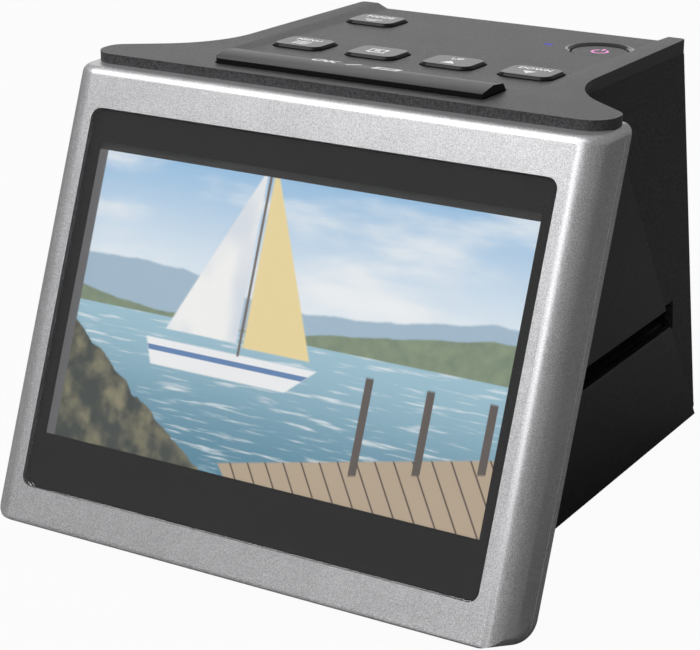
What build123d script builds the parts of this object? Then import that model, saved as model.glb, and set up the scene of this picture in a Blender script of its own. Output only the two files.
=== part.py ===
from build123d import *
from math import cos, radians, sin, tan
import os

# Film negative scanner, millimetres.  +X is to the right of someone facing the screen, +Y is
# away from them, +Z is up.  The origin is on the table, under the middle of the scanner.

# ------------------------------------------------------------------ overall form
overall_depth = 139.5
display_width = 129.0
display_tilt = 21.7
rear_lean = 6.75
side_lean = 1.8
bezel_clearance = 0.9
bezel_top_z = 101.2
base_bottom_z = 5.5
skin_gap = 0.1
wall = 2.2
fastener_play = 0.05

# ------------------------------------------------------------------ display unit
bezel_depth = 11.5
rear_frame_thickness = 2.5
bezel_front_wall = 3.4
bezel_side_wall = 2.0
bezel_side_radius = 5.6
bezel_bottom_radius = 6.7
bezel_front_edge = 1.2
bezel_top_edge = 2.4
part_line_chamfer = 0.3
lens_width = 114.2
lens_height = 85.3
lens_radius = 2.5
lens_bottom = 8.4
lens_recess = 0.8
lens_thickness = 1.2
lens_play = 0.1
mask_thickness = 0.15
window_width = 108.4
window_height = 65.7
window_bottom = 20.8
ledge_width = 1.6
screen_width = 120.7
screen_height = 75.8
screen_thickness = 1.4
screen_lower_border = 7.2
gasket_thickness = 0.5
gasket_lap = 4.5
tray_wall = 0.5
tray_back = 1.9
tray_play = 0.1
holder_width = 108.0
holder_height = 92.0
holder_bottom = 5.0
holder_thickness = 1.5
holder_rim = 14.0
holder_screw_x = 50.0
holder_screw_low = 7.2
holder_screw_high = 95.0
holder_post_radius = 2.5
standoff_x = 32.0
standoff_inset = 5.0
standoff_length = 6.0
standoff_radius = 2.4
bezel_screw_x = 58.2
bezel_screw_low = 6.0
bezel_screw_high = 96.5
bezel_post_radius = 2.8
frame_window_width = 74.0
frame_window_radius = 4.0
frame_screw_x = 41.1
frame_screw_low = 30.0
frame_screw_high = 80.0
frame_post_length = 8.0
frame_window_low = 8.0
frame_window_high = 98.0

# ------------------------------------------------------------------ screws
screw_radius = 1.0
screw_head_radius = 1.9
screw_head_height = 1.2
screw_length = 5.0
case_screw_radius = 1.25
case_screw_head_radius = 2.4
case_screw_head_height = 1.6
case_screw_length = 12.0

# ------------------------------------------------------------------ boards behind the screen
board_thickness = 1.6
main_board_width = 72.0
main_board_height = 64.0
main_board_bottom = 21.0
processor_size = 14.0
processor_height = 1.4
memory_length = 12.0
memory_width = 8.0
memory_offset = 18.0
flex_width = 20.0
flex_thickness = 0.3
flex_run = 10.0
flex_start = 38.0

# ------------------------------------------------------------------ top cover
cover_front_setback = 4.2
cover_slab = 2.25
cover_fall = 1.12
lobe_half_width = 63.2
lobe_depth = 9.35
lobe_front_radius = 6.0
lobe_rear_radius = 4.5
waist_depth = 23.9
waist_half_width = 44.2
waist_radius = 26.0
cover_rear_half_width = 43.6
cover_rear_radius = 1.2
keypad_fall = 1.35
keypad_front_drop = 0.95
keypad_half_width = 36.6
ramp_length = 10.0
rail_slope_run = 2.7
rail_slope_rise = 1.2
keypad_thickness = 2.2
shelf_depth = 11.3

# ------------------------------------------------------------------ keys
key_width = 13.0
key_depth = 10.6
key_radius = 2.8
key_rise = 0.8
key_bevel = 0.55
key_gap = 0.3
key_travel = 0.6
key_flange = 1.0
key_flange_thickness = 0.8
key_seat_gap = 0.2
key_stem_radius = 1.9
key_pitch = 19.3
key_row_share = 0.416
rear_row_inset = 17.03
key_bar_clear = 6.8
key_row_clear = 9.2
rear_key_x = 29.6
bar_width = 66.4
bar_front = 5.0
bar_crest_front = 10.2
bar_crest_rear = 14.6
bar_depth = 10.8
bar_front_wall = 1.1
bar_rise_front = 2.1
bar_rise_rear = 1.6
bar_end_radius = 1.8
bar_pocket_play = 1.5
bar_pocket_drop = 2.6
power_radius = 6.6
power_ring_width = 1.1
power_ring_depth = 1.2
power_dish = 0.55
symbol_radius = 2.1
symbol_stroke = 0.55
symbol_depth = 0.5
status_x = 17.1
status_setback = 1.4
status_width = 2.0
status_depth = 1.2

# ------------------------------------------------------------------ key board
key_board_drop = 9.0
key_board_half_width = 38.0
key_board_front = 10.8
key_board_rear_inset = 5.03
switch_size = 6.0
switch_height = 3.5
plunger_radius = 1.6
plunger_height = 0.7
key_post_radius = 2.5
led_height = 0.7

# ------------------------------------------------------------------ side panels and film slot
panel_half_width = 47.6
panel_foot_inset = 1.75
panel_slope = 32.9
panel_top_z = 96.0
panel_edge = 0.4
base_plate = 2.5
base_step = 0.7
slot_bottom_z = 34.25
slot_top_z = 39.2
housing_slot_bottom_z = 32.1
housing_slot_top_z = 39.15
guide_front_clear = 48.75
guide_rear_clear = 6.35

# ------------------------------------------------------------------ film path and optics
guide_floor_z = 33.3
guide_plate = 2.2
guide_half_length = 43.2
guide_rim = 9.0
gate_inset = 33.2
frame_length = 37.0
frame_width = 25.0
guide_post_x = 34.0
guide_post_inset = 4.6
guide_post_radius = 3.2
guide_screw_bite = 6.0
light_box_length = 52.0
light_box_width = 38.0
light_box_wall = 1.5
light_board_z = 12.0
light_board_margin = 3.0
light_board_width = 40.0
light_post_radius = 2.2
light_post_clear = 3.0
diffuser_thickness = 2.0
led_length = 3.5
led_width = 2.8
led_thickness = 0.8
led_columns = 4
led_rows = 3
led_pitch_x = 11.0
led_pitch_y = 9.0
tower_foot_length = 50.0
tower_foot_width = 38.0
tower_head = 28.0
tower_height = 40.0
tower_wall = 1.8
tower_screw_x = 28.5
tower_ear_radius = 3.8
tower_ear_height = 2.5
lens_barrel_radius = 7.0
lens_barrel_length = 16.0
lens_bore_radius = 5.0
lens_barrel_chamfer = 0.3
tower_roof = 2.5
sensor_board_size = 30.0
sensor_size = 9.0
sensor_height = 1.3
sensor_spacer = 3.0
sensor_screw_pitch = 22.0

# ------------------------------------------------------------------ base, feet and sockets
foot_x = 33.0
foot_front_inset = 26.75
foot_rear_inset = 17.75
foot_boss_radius = 6.2
foot_boss_height = 2.6
foot_radius = 5.4
foot_seat = 0.6
case_screw_x = 41.6
case_screw_front_inset = 35.75
case_screw_rear_inset = 8.75
case_post_radius = 3.0
case_post_height = 18.0
interface_z = 18.0
interface_half_width = 29.0
interface_depth = 22.37
interface_rear_gap = 1.0
interface_screw_x = 26.0
interface_screw_inset = 3.0
interface_post_radius = 2.6
socket_recess = 0.5
card_x = -9.0
card_width = 27.0
card_depth = 24.0
card_height = 3.4
card_slot_width = 24.4
card_slot_height = 2.3
video_x = 10.5
video_width = 11.4
video_depth = 7.5
video_height = 3.4
supply_x = 22.5
supply_width = 7.7
supply_depth = 9.2
supply_height = 3.9
socket_wall = 0.35
socket_clear = 0.3

os.makedirs("parts", exist_ok=True)

# ------------------------------------------------------------------ places worked out from the sizes
tilt_sin = sin(radians(display_tilt))
tilt_cos = cos(radians(display_tilt))
display_depth = bezel_depth + rear_frame_thickness
front_edge_y = -overall_depth / 2 - bezel_front_edge * (tilt_sin + tilt_cos - 1)
face_z = bezel_clearance + display_depth * tilt_sin
face = Plane(
    origin=(0, front_edge_y, face_z),
    x_dir=(1, 0, 0),
    z_dir=(0, -tilt_cos, tilt_sin),
)
depth_axis = Axis(face.origin, face.z_dir)
back = face.offset(-display_depth - skin_gap)
slab_front_y = front_edge_y + (bezel_top_z - face_z) * tan(radians(display_tilt)) + cover_front_setback
cover_top_z = bezel_top_z + cover_slab
cover = Plane(
    origin=(0, slab_front_y, cover_top_z),
    x_dir=(1, 0, 0),
    z_dir=(0, sin(radians(cover_fall)), cos(radians(cover_fall))),
)
half_depth = overall_depth / 2
cover_rear_y = half_depth - (bezel_top_z - keypad_thickness - base_bottom_z - base_plate) * tan(radians(rear_lean))
cover_depth = cover_rear_y - slab_front_y
key_row = key_row_share * cover_depth
keypad_y = slab_front_y + key_row
keypad_z = cover_top_z - key_row * tan(radians(cover_fall)) - keypad_front_drop
keypad = Plane(
    origin=(0, keypad_y, keypad_z),
    x_dir=(1, 0, 0),
    z_dir=(0, sin(radians(keypad_fall)), cos(radians(keypad_fall))),
)
housing_bottom_z = base_bottom_z + base_plate
rear_row_y = cover_depth - rear_row_inset - key_row
mid_post_y = rear_row_y / 2
key_board_rear = cover_depth - key_board_rear_inset
bar_row_y = bar_crest_rear - key_row
power_outer_radius = power_radius + key_gap + power_ring_width
key_seat = keypad_thickness + key_seat_gap
stem_foot = key_board_drop - switch_height - plunger_height - key_travel - fastener_play

key_places = {
    "left_key": (-1.5 * key_pitch, 0.0),
    "centre_key": (-0.5 * key_pitch, 0.0),
    "up_key": (0.5 * key_pitch, 0.0),
    "down_key": (1.5 * key_pitch, 0.0),
    "rear_key": (-rear_key_x, rear_row_y),
}
power_place = (rear_key_x, rear_row_y)
status_place = (status_x, rear_row_y - status_setback)
switch_places = [*key_places.values(), power_place, (0.0, bar_row_y)]
key_post_places = [
    (-1.7 * key_pitch, mid_post_y),
    (1.7 * key_pitch, mid_post_y),
    (-0.6 * key_pitch, rear_row_y + key_row_clear - key_flange),
    (0.6 * key_pitch, rear_row_y + key_row_clear - key_flange),
    (-key_pitch, -key_depth / 2 - key_bar_clear),
    (key_pitch, -key_depth / 2 - key_bar_clear),
]


def keypad_surface_z(y):
    """Height of the sunk key field at a place along the scanner."""
    return keypad_z - (y - keypad_y) * tan(radians(keypad_fall))


def cover_surface_z(y):
    """Height of the cover's rails and front slab at a place along the scanner."""
    return cover_top_z - (y - slab_front_y) * tan(radians(cover_fall))


def wall_y(z):
    """Outer face of the leaning rear wall at a height."""
    return overall_depth / 2 - (z - housing_bottom_z) * tan(radians(rear_lean))


def wall_x(z):
    """Outer face of the drafted side walls at a height."""
    return cover_rear_half_width + (bezel_top_z - z) * tan(radians(side_lean))


interface_rear_y = wall_y(interface_z) - wall - interface_rear_gap
interface_front_y = interface_rear_y - interface_depth
slot_front_y = guide_front_clear + guide_rim - half_depth
slot_rear_y = half_depth - guide_rear_clear - guide_rim
gate_y = slot_rear_y - gate_inset
light_post_x = light_box_length / 2 + light_post_clear
light_board_length = 2 * (light_post_x + light_board_margin)
case_screw_front_y = case_screw_front_inset - half_depth
case_screw_rear_y = half_depth - case_screw_rear_inset
foot_front_y = foot_front_inset - half_depth
foot_rear_y = half_depth - foot_rear_inset
panel_foot_y = half_depth - panel_foot_inset
standoff_low = main_board_bottom + standoff_inset
standoff_high = main_board_bottom + main_board_height - standoff_inset
guide_post_low_y = slot_front_y - guide_rim + guide_post_inset
guide_post_high_y = slot_rear_y + guide_rim - guide_post_inset
feet = [(x, y) for x in (-foot_x, foot_x) for y in (foot_front_y, foot_rear_y)]
guide_posts = [
    (x, y) for x in (-guide_post_x, guide_post_x) for y in (guide_post_low_y, guide_post_high_y)
]
light_posts = [
    (x, gate_y) for x in (-light_post_x, light_post_x)
]
interface_screws = [
    (x, interface_front_y + interface_screw_inset) for x in (-interface_screw_x, interface_screw_x)
]
tower_screws = [(x, gate_y) for x in (-tower_screw_x, tower_screw_x)]
sensor_half_pitch = sensor_screw_pitch / 2
sensor_screws = [
    (x, gate_y + y)
    for x in (-sensor_half_pitch, sensor_half_pitch)
    for y in (-sensor_half_pitch, sensor_half_pitch)
]


def finish(part, name):
    """Label a finished piece and write it."""
    part.label = name
    export_step(part, f"parts/{name}.step")


def housing_block(z_low, z_high, inset):
    """Block with the housing's leaning outer faces, drawn in by an inset, open to the front."""
    with BuildPart() as block:
        for z in (z_low, z_high):
            with BuildSketch(Plane.XY.offset(z)):
                with Locations((0, wall_y(z) - inset)):
                    Rectangle(
                        2 * (wall_x(z) - inset),
                        overall_depth,
                        align=(Align.CENTER, Align.MAX),
                    )
        loft(ruled=True)
    return block.part


def display_block(depth_from, depth_to, inset):
    """Slice of the display unit's outer form between two depths behind the face."""
    with BuildPart() as block:
        with BuildSketch(face.offset(-depth_from)):
            with Locations((0, inset)):
                Rectangle(
                    display_width - 2 * inset,
                    overall_depth,
                    align=(Align.CENTER, Align.MIN),
                )
        extrude(amount=depth_from - depth_to)
        lower_corners = block.edges().filter_by(depth_axis)
        fillet(lower_corners.group_by(Axis.Z)[0], bezel_bottom_radius - inset)
        split(bisect_by=Plane.XY.offset(bezel_top_z - inset), keep=Keep.BOTTOM)
    return block.part


def side_round(inset):
    """Bar along the screen's height that gives the display unit its rounded front sides."""
    section = Plane(face.origin, x_dir=(1, 0, 0), z_dir=face.y_dir)
    with BuildPart() as block:
        with BuildSketch(section.offset(-overall_depth)) as profile:
            with Locations((0, inset)):
                Rectangle(
                    display_width - 2 * inset,
                    overall_depth,
                    align=(Align.CENTER, Align.MIN),
                )
            fillet(profile.vertices().group_by(Axis.Y)[0], bezel_side_radius - inset)
        extrude(amount=3 * overall_depth)
    return block.part


def front_round():
    """Block across the scanner with the display unit's rounded lower front edge."""
    section = Plane(face.origin, x_dir=face.y_dir, z_dir=(1, 0, 0))
    with BuildPart() as block:
        with BuildSketch(section) as profile:
            Rectangle(2 * overall_depth, overall_depth, align=(Align.MIN, Align.MAX))
            fillet(profile.vertices().group_by(Axis.X)[0].sort_by(Axis.Y)[-1], bezel_front_edge)
        extrude(amount=display_width, both=True)
    return block.part


def screw(plane, places, shank_radius, shank_length, head_radius, head_height):
    """Group of pan-head screws that point down into a plane, with cross recesses."""
    with BuildPart() as group:
        with BuildSketch(plane):
            with Locations(*places):
                Circle(head_radius)
        extrude(amount=head_height)
        head_rims = group.edges().filter_by(GeomType.CIRCLE).group_by(Axis(plane.origin, plane.z_dir))
        fillet(head_rims[-1], head_height / 3)
        with BuildSketch(plane):
            with Locations(*places):
                Circle(shank_radius)
        extrude(amount=-shank_length)
        with BuildSketch(plane.offset(head_height)):
            with Locations(*places):
                Rectangle(head_radius * 1.1, head_radius / 4)
                Rectangle(head_radius / 4, head_radius * 1.1)
        extrude(amount=-head_height / 2, mode=Mode.SUBTRACT)
    return group.part


def power_mark():
    """Broken ring with an upright stroke, the sign for a power key."""
    with BuildSketch() as mark:
        Circle(symbol_radius)
        Circle(symbol_radius - symbol_stroke, mode=Mode.SUBTRACT)
        with Locations((0, symbol_radius)):
            Rectangle(
                3 * symbol_stroke,
                symbol_radius,
                align=(Align.CENTER, Align.CENTER),
                mode=Mode.SUBTRACT,
            )
        with Locations((0, symbol_radius)):
            Rectangle(symbol_stroke, symbol_radius)
    return mark.sketch


# ------------------------------------------------------------------ display unit
lens_middle = lens_bottom + lens_height / 2
window_middle = window_bottom + window_height / 2
mask_back = lens_recess + lens_thickness + mask_thickness
screen_front = bezel_front_wall + gasket_thickness
screen_back = screen_front + screen_thickness
tray_rear = screen_back + tray_back
holder_back = tray_rear + holder_thickness
board_front = holder_back + standoff_length
board_rear = board_front + board_thickness
screen_bottom = window_bottom - screen_lower_border
screen_middle = screen_bottom + screen_height / 2
bar_middle_y = slab_front_y + bar_front + bar_depth / 2
bar_pocket_width = bar_width + 2 * (key_flange + bar_pocket_play)
bar_pocket_depth = bar_depth + 2 * (key_flange + bar_pocket_play)

holder_screws = [
    (x, y) for x in (-holder_screw_x, holder_screw_x) for y in (holder_screw_low, holder_screw_high)
]
bezel_screws = [
    (x, y) for x in (-bezel_screw_x, bezel_screw_x) for y in (bezel_screw_low, bezel_screw_high)
]
standoffs = [(x, y) for x in (-standoff_x, standoff_x) for y in (standoff_low, standoff_high)]

frame_screws = [
    (x, y) for x in (-frame_screw_x, frame_screw_x) for y in (frame_screw_low, frame_screw_high)
]

with BuildPart() as front_bezel:
    add(display_block(0, bezel_depth, 0))
    add(side_round(0), mode=Mode.INTERSECT)
    add(front_round(), mode=Mode.INTERSECT)
    top_edges = front_bezel.faces().sort_by(Axis.Z)[-1].edges()
    fillet(top_edges.sort_by(Axis.Y)[:-1], bezel_top_edge)
    with BuildPart(mode=Mode.PRIVATE) as hollow:
        add(display_block(bezel_front_wall, bezel_depth + 1, bezel_side_wall))
    add(hollow.part, mode=Mode.SUBTRACT)
    with BuildSketch(face):
        with Locations((0, lens_middle)):
            RectangleRounded(lens_width, lens_height, lens_radius)
    extrude(amount=-mask_back, mode=Mode.SUBTRACT)
    with BuildSketch(face):
        with Locations((0, lens_middle)):
            Rectangle(lens_width - 2 * ledge_width, lens_height - 2 * ledge_width)
    extrude(amount=-bezel_front_wall, mode=Mode.SUBTRACT)
    with BuildSketch(face.offset(-bezel_front_wall)):
        with Locations(*bezel_screws):
            Circle(bezel_post_radius)
    extrude(amount=bezel_front_wall - bezel_depth)
    with BuildSketch(face.offset(-bezel_front_wall)):
        with Locations(*holder_screws):
            Circle(holder_post_radius)
    extrude(amount=bezel_front_wall - tray_rear)
    with BuildSketch(face.offset(-bezel_depth)):
        with Locations(*bezel_screws):
            Circle(screw_radius + fastener_play)
    extrude(amount=screw_length, mode=Mode.SUBTRACT)
    with BuildSketch(face.offset(-tray_rear)):
        with Locations(*holder_screws):
            Circle(screw_radius + fastener_play)
    extrude(amount=tray_rear - bezel_front_wall, mode=Mode.SUBTRACT)
    with BuildSketch(Plane.XY.offset(bezel_top_z)):
        with Locations((0, bar_middle_y)):
            Rectangle(bar_pocket_width, bar_pocket_depth)
    extrude(amount=-bar_pocket_drop, mode=Mode.SUBTRACT)
finish(front_bezel.part, "front_bezel")

with BuildPart() as bezel_rear_frame:
    add(display_block(bezel_depth, display_depth, 0))
    frame_top = bezel_rear_frame.faces().sort_by(Axis.Z)[-1]
    fillet(frame_top.edges().filter_by(Axis.Y), bezel_top_edge)
    frame_front = bezel_rear_frame.faces().filter_by(face).sort_by(depth_axis)[-1]
    chamfer(frame_front.edges(), part_line_chamfer)
    with BuildSketch(face.offset(-bezel_depth)):
        with Locations((0, (frame_window_low + frame_window_high) / 2)):
            RectangleRounded(frame_window_width, frame_window_high - frame_window_low, frame_window_radius)
        with Locations(*bezel_screws, *frame_screws):
            Circle(screw_radius + fastener_play)
    extrude(amount=-rear_frame_thickness, mode=Mode.SUBTRACT)
    with BuildSketch(face.offset(-display_depth)):
        with Locations(*bezel_screws):
            Circle(screw_head_radius + fastener_play)
    extrude(amount=screw_head_height, mode=Mode.SUBTRACT)
    with BuildSketch(Plane.XY.offset(bezel_top_z)):
        with Locations((0, bar_middle_y)):
            Rectangle(bar_pocket_width, bar_pocket_depth)
    extrude(amount=-bar_pocket_drop, mode=Mode.SUBTRACT)
finish(bezel_rear_frame.part, "bezel_rear_frame")

with BuildPart() as display_lens:
    with BuildSketch(face.offset(-lens_recess - lens_thickness)):
        with Locations((0, lens_middle)):
            RectangleRounded(lens_width - 2 * lens_play, lens_height - 2 * lens_play, lens_radius)
    extrude(amount=lens_thickness)
    chamfer(display_lens.faces().filter_by(face).sort_by(depth_axis)[-1].edges(), lens_play * 2)
finish(display_lens.part, "display_lens")

with BuildPart() as lens_mask:
    with BuildSketch(face.offset(-mask_back)):
        with Locations((0, lens_middle)):
            RectangleRounded(lens_width - 2 * lens_play, lens_height - 2 * lens_play, lens_radius)
        with Locations((0, window_middle)):
            Rectangle(window_width, window_height, mode=Mode.SUBTRACT)
    extrude(amount=mask_thickness)
finish(lens_mask.part, "lens_mask")

with BuildPart() as lcd_gasket:
    with BuildSketch(face.offset(-screen_front)):
        with Locations((0, screen_middle)):
            Rectangle(screen_width, screen_height)
            Rectangle(screen_width - 2 * gasket_lap, screen_height - 2 * gasket_lap, mode=Mode.SUBTRACT)
    extrude(amount=gasket_thickness)
finish(lcd_gasket.part, "lcd_gasket")

with BuildPart() as lcd_glass:
    with BuildSketch(face.offset(-screen_back)):
        with Locations((0, screen_middle)):
            Rectangle(screen_width, screen_height)
    extrude(amount=screen_thickness)
finish(lcd_glass.part, "lcd_glass")

with BuildPart() as lcd_tray:
    with BuildSketch(face.offset(-tray_rear)):
        with Locations((0, screen_middle)):
            Rectangle(
                screen_width + 2 * (tray_play + tray_wall),
                screen_height + 2 * (tray_play + tray_wall),
            )
    extrude(amount=tray_rear - screen_front)
    with BuildSketch(face.offset(-screen_back)):
        with Locations((0, screen_middle)):
            Rectangle(screen_width + 2 * tray_play, screen_height + 2 * tray_play)
    extrude(amount=screen_thickness, mode=Mode.SUBTRACT)
finish(lcd_tray.part, "lcd_tray")

with BuildPart() as lcd_holder:
    with BuildSketch(face.offset(-tray_rear)):
        with Locations((0, holder_bottom + holder_height / 2)):
            Rectangle(holder_width, holder_height)
            Rectangle(holder_width - 2 * holder_rim, holder_height - 4 * holder_rim, mode=Mode.SUBTRACT)
        with Locations(*holder_screws):
            Circle(screw_radius + fastener_play, mode=Mode.SUBTRACT)
    extrude(amount=-holder_thickness)
    with BuildSketch(face.offset(-holder_back)):
        with Locations(*standoffs):
            Circle(standoff_radius)
    extrude(amount=-standoff_length)
    with BuildSketch(face.offset(-board_front)):
        with Locations(*standoffs):
            Circle(screw_radius + fastener_play)
    extrude(amount=screw_length, mode=Mode.SUBTRACT)
finish(lcd_holder.part, "lcd_holder")

rear_facing = Plane(face.offset(-holder_back).origin, x_dir=(-1, 0, 0), z_dir=-face.z_dir)
finish(
    screw(
        rear_facing,
        [(-x, y) for x, y in holder_screws],
        screw_radius,
        screw_length,
        screw_head_radius,
        screw_head_height,
    ),
    "lcd_holder_screws",
)
frame_facing = Plane(
    face.offset(screw_head_height - display_depth).origin,
    x_dir=(-1, 0, 0),
    z_dir=-face.z_dir,
)
finish(
    screw(
        frame_facing,
        [(-x, y) for x, y in bezel_screws],
        screw_radius,
        screw_length,
        screw_head_radius,
        screw_head_height,
    ),
    "bezel_screws",
)
finish(
    screw(
        face.offset(-bezel_depth),
        frame_screws,
        screw_radius,
        screw_length + rear_frame_thickness,
        screw_head_radius,
        screw_head_height,
    ),
    "frame_screws",
)

# ------------------------------------------------------------------ main board
with BuildPart() as main_board:
    with BuildSketch(face.offset(-board_front)):
        with Locations((0, main_board_bottom + main_board_height / 2)):
            Rectangle(main_board_width, main_board_height)
        with Locations(*standoffs):
            Circle(screw_radius + fastener_play, mode=Mode.SUBTRACT)
    extrude(amount=-board_thickness)
finish(main_board.part, "main_board")

with BuildPart() as main_board_chips:
    with BuildSketch(face.offset(-board_rear)):
        with Locations((0, main_board_bottom + main_board_height / 2)):
            Rectangle(processor_size, processor_size)
            with Locations((memory_offset, 0), (-memory_offset, 0)):
                Rectangle(memory_width, memory_length)
    extrude(amount=-processor_height)
    chamfer(main_board_chips.faces().filter_by(face).sort_by(depth_axis)[:3].edges(), processor_height / 8)
finish(main_board_chips.part, "main_board_chips")

board_facing = Plane(face.offset(-board_rear).origin, x_dir=(-1, 0, 0), z_dir=-face.z_dir)
finish(
    screw(
        board_facing,
        [(-x, y) for x, y in standoffs],
        screw_radius,
        screw_length,
        screw_head_radius,
        screw_head_height,
    ),
    "main_board_screws",
)

with BuildPart() as lcd_flex:
    flex_side = Plane(face.origin, x_dir=face.y_dir, z_dir=(1, 0, 0))
    with BuildSketch(flex_side.offset(-flex_width / 2)):
        with BuildLine():
            Polyline(
                (flex_start, -tray_rear),
                (flex_start + flex_run, -tray_rear),
                (flex_start + flex_run, -tray_rear - flex_thickness),
                (flex_start + flex_thickness, -tray_rear - flex_thickness),
                (flex_start + flex_thickness, -board_front + flex_thickness),
                (flex_start + flex_run, -board_front + flex_thickness),
                (flex_start + flex_run, -board_front),
                (flex_start, -board_front),
                close=True,
            )
        make_face()
    extrude(amount=flex_width)
finish(lcd_flex.part, "lcd_flex")

# ------------------------------------------------------------------ top cover
lobe_rear_y = slab_front_y + lobe_depth
waist_y = slab_front_y + waist_depth
shelf_y = slab_front_y + shelf_depth
field_y = keypad_y - key_row_clear
rail_rise_total = 2 * cover_slab
rail_run_total = rail_rise_total * rail_slope_run / rail_slope_rise


def vertices_at(sketch, y):
    """Corners of a plan outline that lie at one place along the scanner."""
    return sketch.vertices().filter_by_position(Axis.Y, y - fastener_play, y + fastener_play)


with BuildPart() as top_cover:
    with BuildSketch(Plane.XY.offset(bezel_top_z)) as cover_plan:
        with BuildLine():
            Polyline(
                (lobe_half_width, slab_front_y),
                (lobe_half_width, lobe_rear_y),
                (waist_half_width, waist_y),
                (cover_rear_half_width, cover_rear_y),
                (-cover_rear_half_width, cover_rear_y),
                (-waist_half_width, waist_y),
                (-lobe_half_width, lobe_rear_y),
                (-lobe_half_width, slab_front_y),
                close=True,
            )
        make_face()
        fillet(vertices_at(cover_plan, cover_rear_y), cover_rear_radius)
        fillet(vertices_at(cover_plan, waist_y), waist_radius)
        fillet(vertices_at(cover_plan, lobe_rear_y), lobe_rear_radius)
        fillet(vertices_at(cover_plan, slab_front_y), lobe_front_radius)
    extrude(amount=2 * cover_slab)
    with BuildSketch(Plane.XY.offset(bezel_top_z)) as cover_foot:
        with Locations((0, shelf_y)):
            Rectangle(
                2 * cover_rear_half_width,
                cover_rear_y - shelf_y,
                align=(Align.CENTER, Align.MIN),
            )
        fillet(vertices_at(cover_foot, cover_rear_y), cover_rear_radius)
    extrude(amount=-2 * keypad_thickness)
    split(bisect_by=cover, keep=Keep.BOTTOM)
    split(bisect_by=keypad.offset(-keypad_thickness), keep=Keep.TOP)
    with BuildPart(mode=Mode.PRIVATE) as key_field:
        with BuildSketch(Plane(keypad.origin, x_dir=(1, 0, 0), z_dir=-keypad.y_dir)):
            Polygon(
                (-keypad_half_width, 0),
                (keypad_half_width, 0),
                (keypad_half_width + rail_run_total, rail_rise_total),
                (-keypad_half_width - rail_run_total, rail_rise_total),
                align=None,
            )
        extrude(amount=overall_depth, both=True)
        with BuildSketch(Plane.YZ):
            Polygon(
                (field_y, keypad_surface_z(field_y)),
                (overall_depth, keypad_surface_z(overall_depth)),
                (overall_depth, 2 * cover_top_z),
                (field_y - 2 * ramp_length, 2 * cover_top_z),
                (field_y - ramp_length, cover_surface_z(field_y - ramp_length)),
                align=None,
            )
        extrude(amount=display_width, both=True, mode=Mode.INTERSECT)
    add(key_field.part, mode=Mode.SUBTRACT)
    with BuildSketch(Plane.XY.offset(bezel_top_z)):
        with Locations((0, bar_middle_y)):
            Rectangle(bar_pocket_width, bar_pocket_depth)
    extrude(amount=-bar_pocket_drop, mode=Mode.SUBTRACT)
    with BuildSketch(Plane.XY.offset(bezel_top_z)) as bar_hole:
        with Locations((0, bar_middle_y)):
            Rectangle(bar_width + 2 * key_gap, bar_depth + 2 * key_gap)
        fillet(bar_hole.vertices().group_by(Axis.X)[0], bar_end_radius + key_gap)
    extrude(amount=2 * cover_slab, mode=Mode.SUBTRACT)
    with BuildSketch(keypad):
        with Locations(*key_places.values()):
            RectangleRounded(key_width + 2 * key_gap, key_depth + 2 * key_gap, key_radius + key_gap)
        with Locations(power_place):
            Circle(power_outer_radius - power_ring_width)
        with Locations(status_place):
            Rectangle(status_width + 2 * fastener_play, status_depth + 2 * fastener_play)
    extrude(amount=-2 * keypad_thickness, mode=Mode.SUBTRACT)
    with BuildSketch(keypad):
        with Locations(power_place):
            Circle(power_outer_radius)
    extrude(amount=-power_ring_depth, mode=Mode.SUBTRACT)
    with BuildSketch(keypad.offset(-key_board_drop)):
        with Locations(*key_post_places):
            Circle(key_post_radius)
    extrude(amount=key_board_drop - keypad_thickness)
    with BuildSketch(keypad.offset(-key_board_drop)):
        with Locations(*key_post_places):
            Circle(screw_radius + fastener_play)
    extrude(amount=screw_length, mode=Mode.SUBTRACT)
finish(top_cover.part, "top_cover")


# ------------------------------------------------------------------ keys
def key_piece(place):
    """Cushion key with a stop flange below the cover and a stem that reaches its switch."""
    with BuildPart() as key:
        with BuildSketch(keypad.offset(-key_seat)):
            with Locations(place):
                RectangleRounded(key_width, key_depth, key_radius)
        extrude(amount=key_seat + key_rise)
        crown = key.faces().filter_by(keypad).sort_by(Axis.Z)[-1]
        chamfer(crown.edges(), key_bevel)
        with BuildSketch(keypad.offset(-key_seat)):
            with Locations(place):
                RectangleRounded(
                    key_width + 2 * key_flange,
                    key_depth + 2 * key_flange,
                    key_radius + key_flange,
                )
        extrude(amount=-key_flange_thickness)
        with BuildSketch(keypad.offset(-key_seat)):
            with Locations(place):
                Circle(key_stem_radius)
        extrude(amount=key_seat - stem_foot)
    return key.part


for key_name, key_place in key_places.items():
    finish(key_piece(key_place), key_name)

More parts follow.
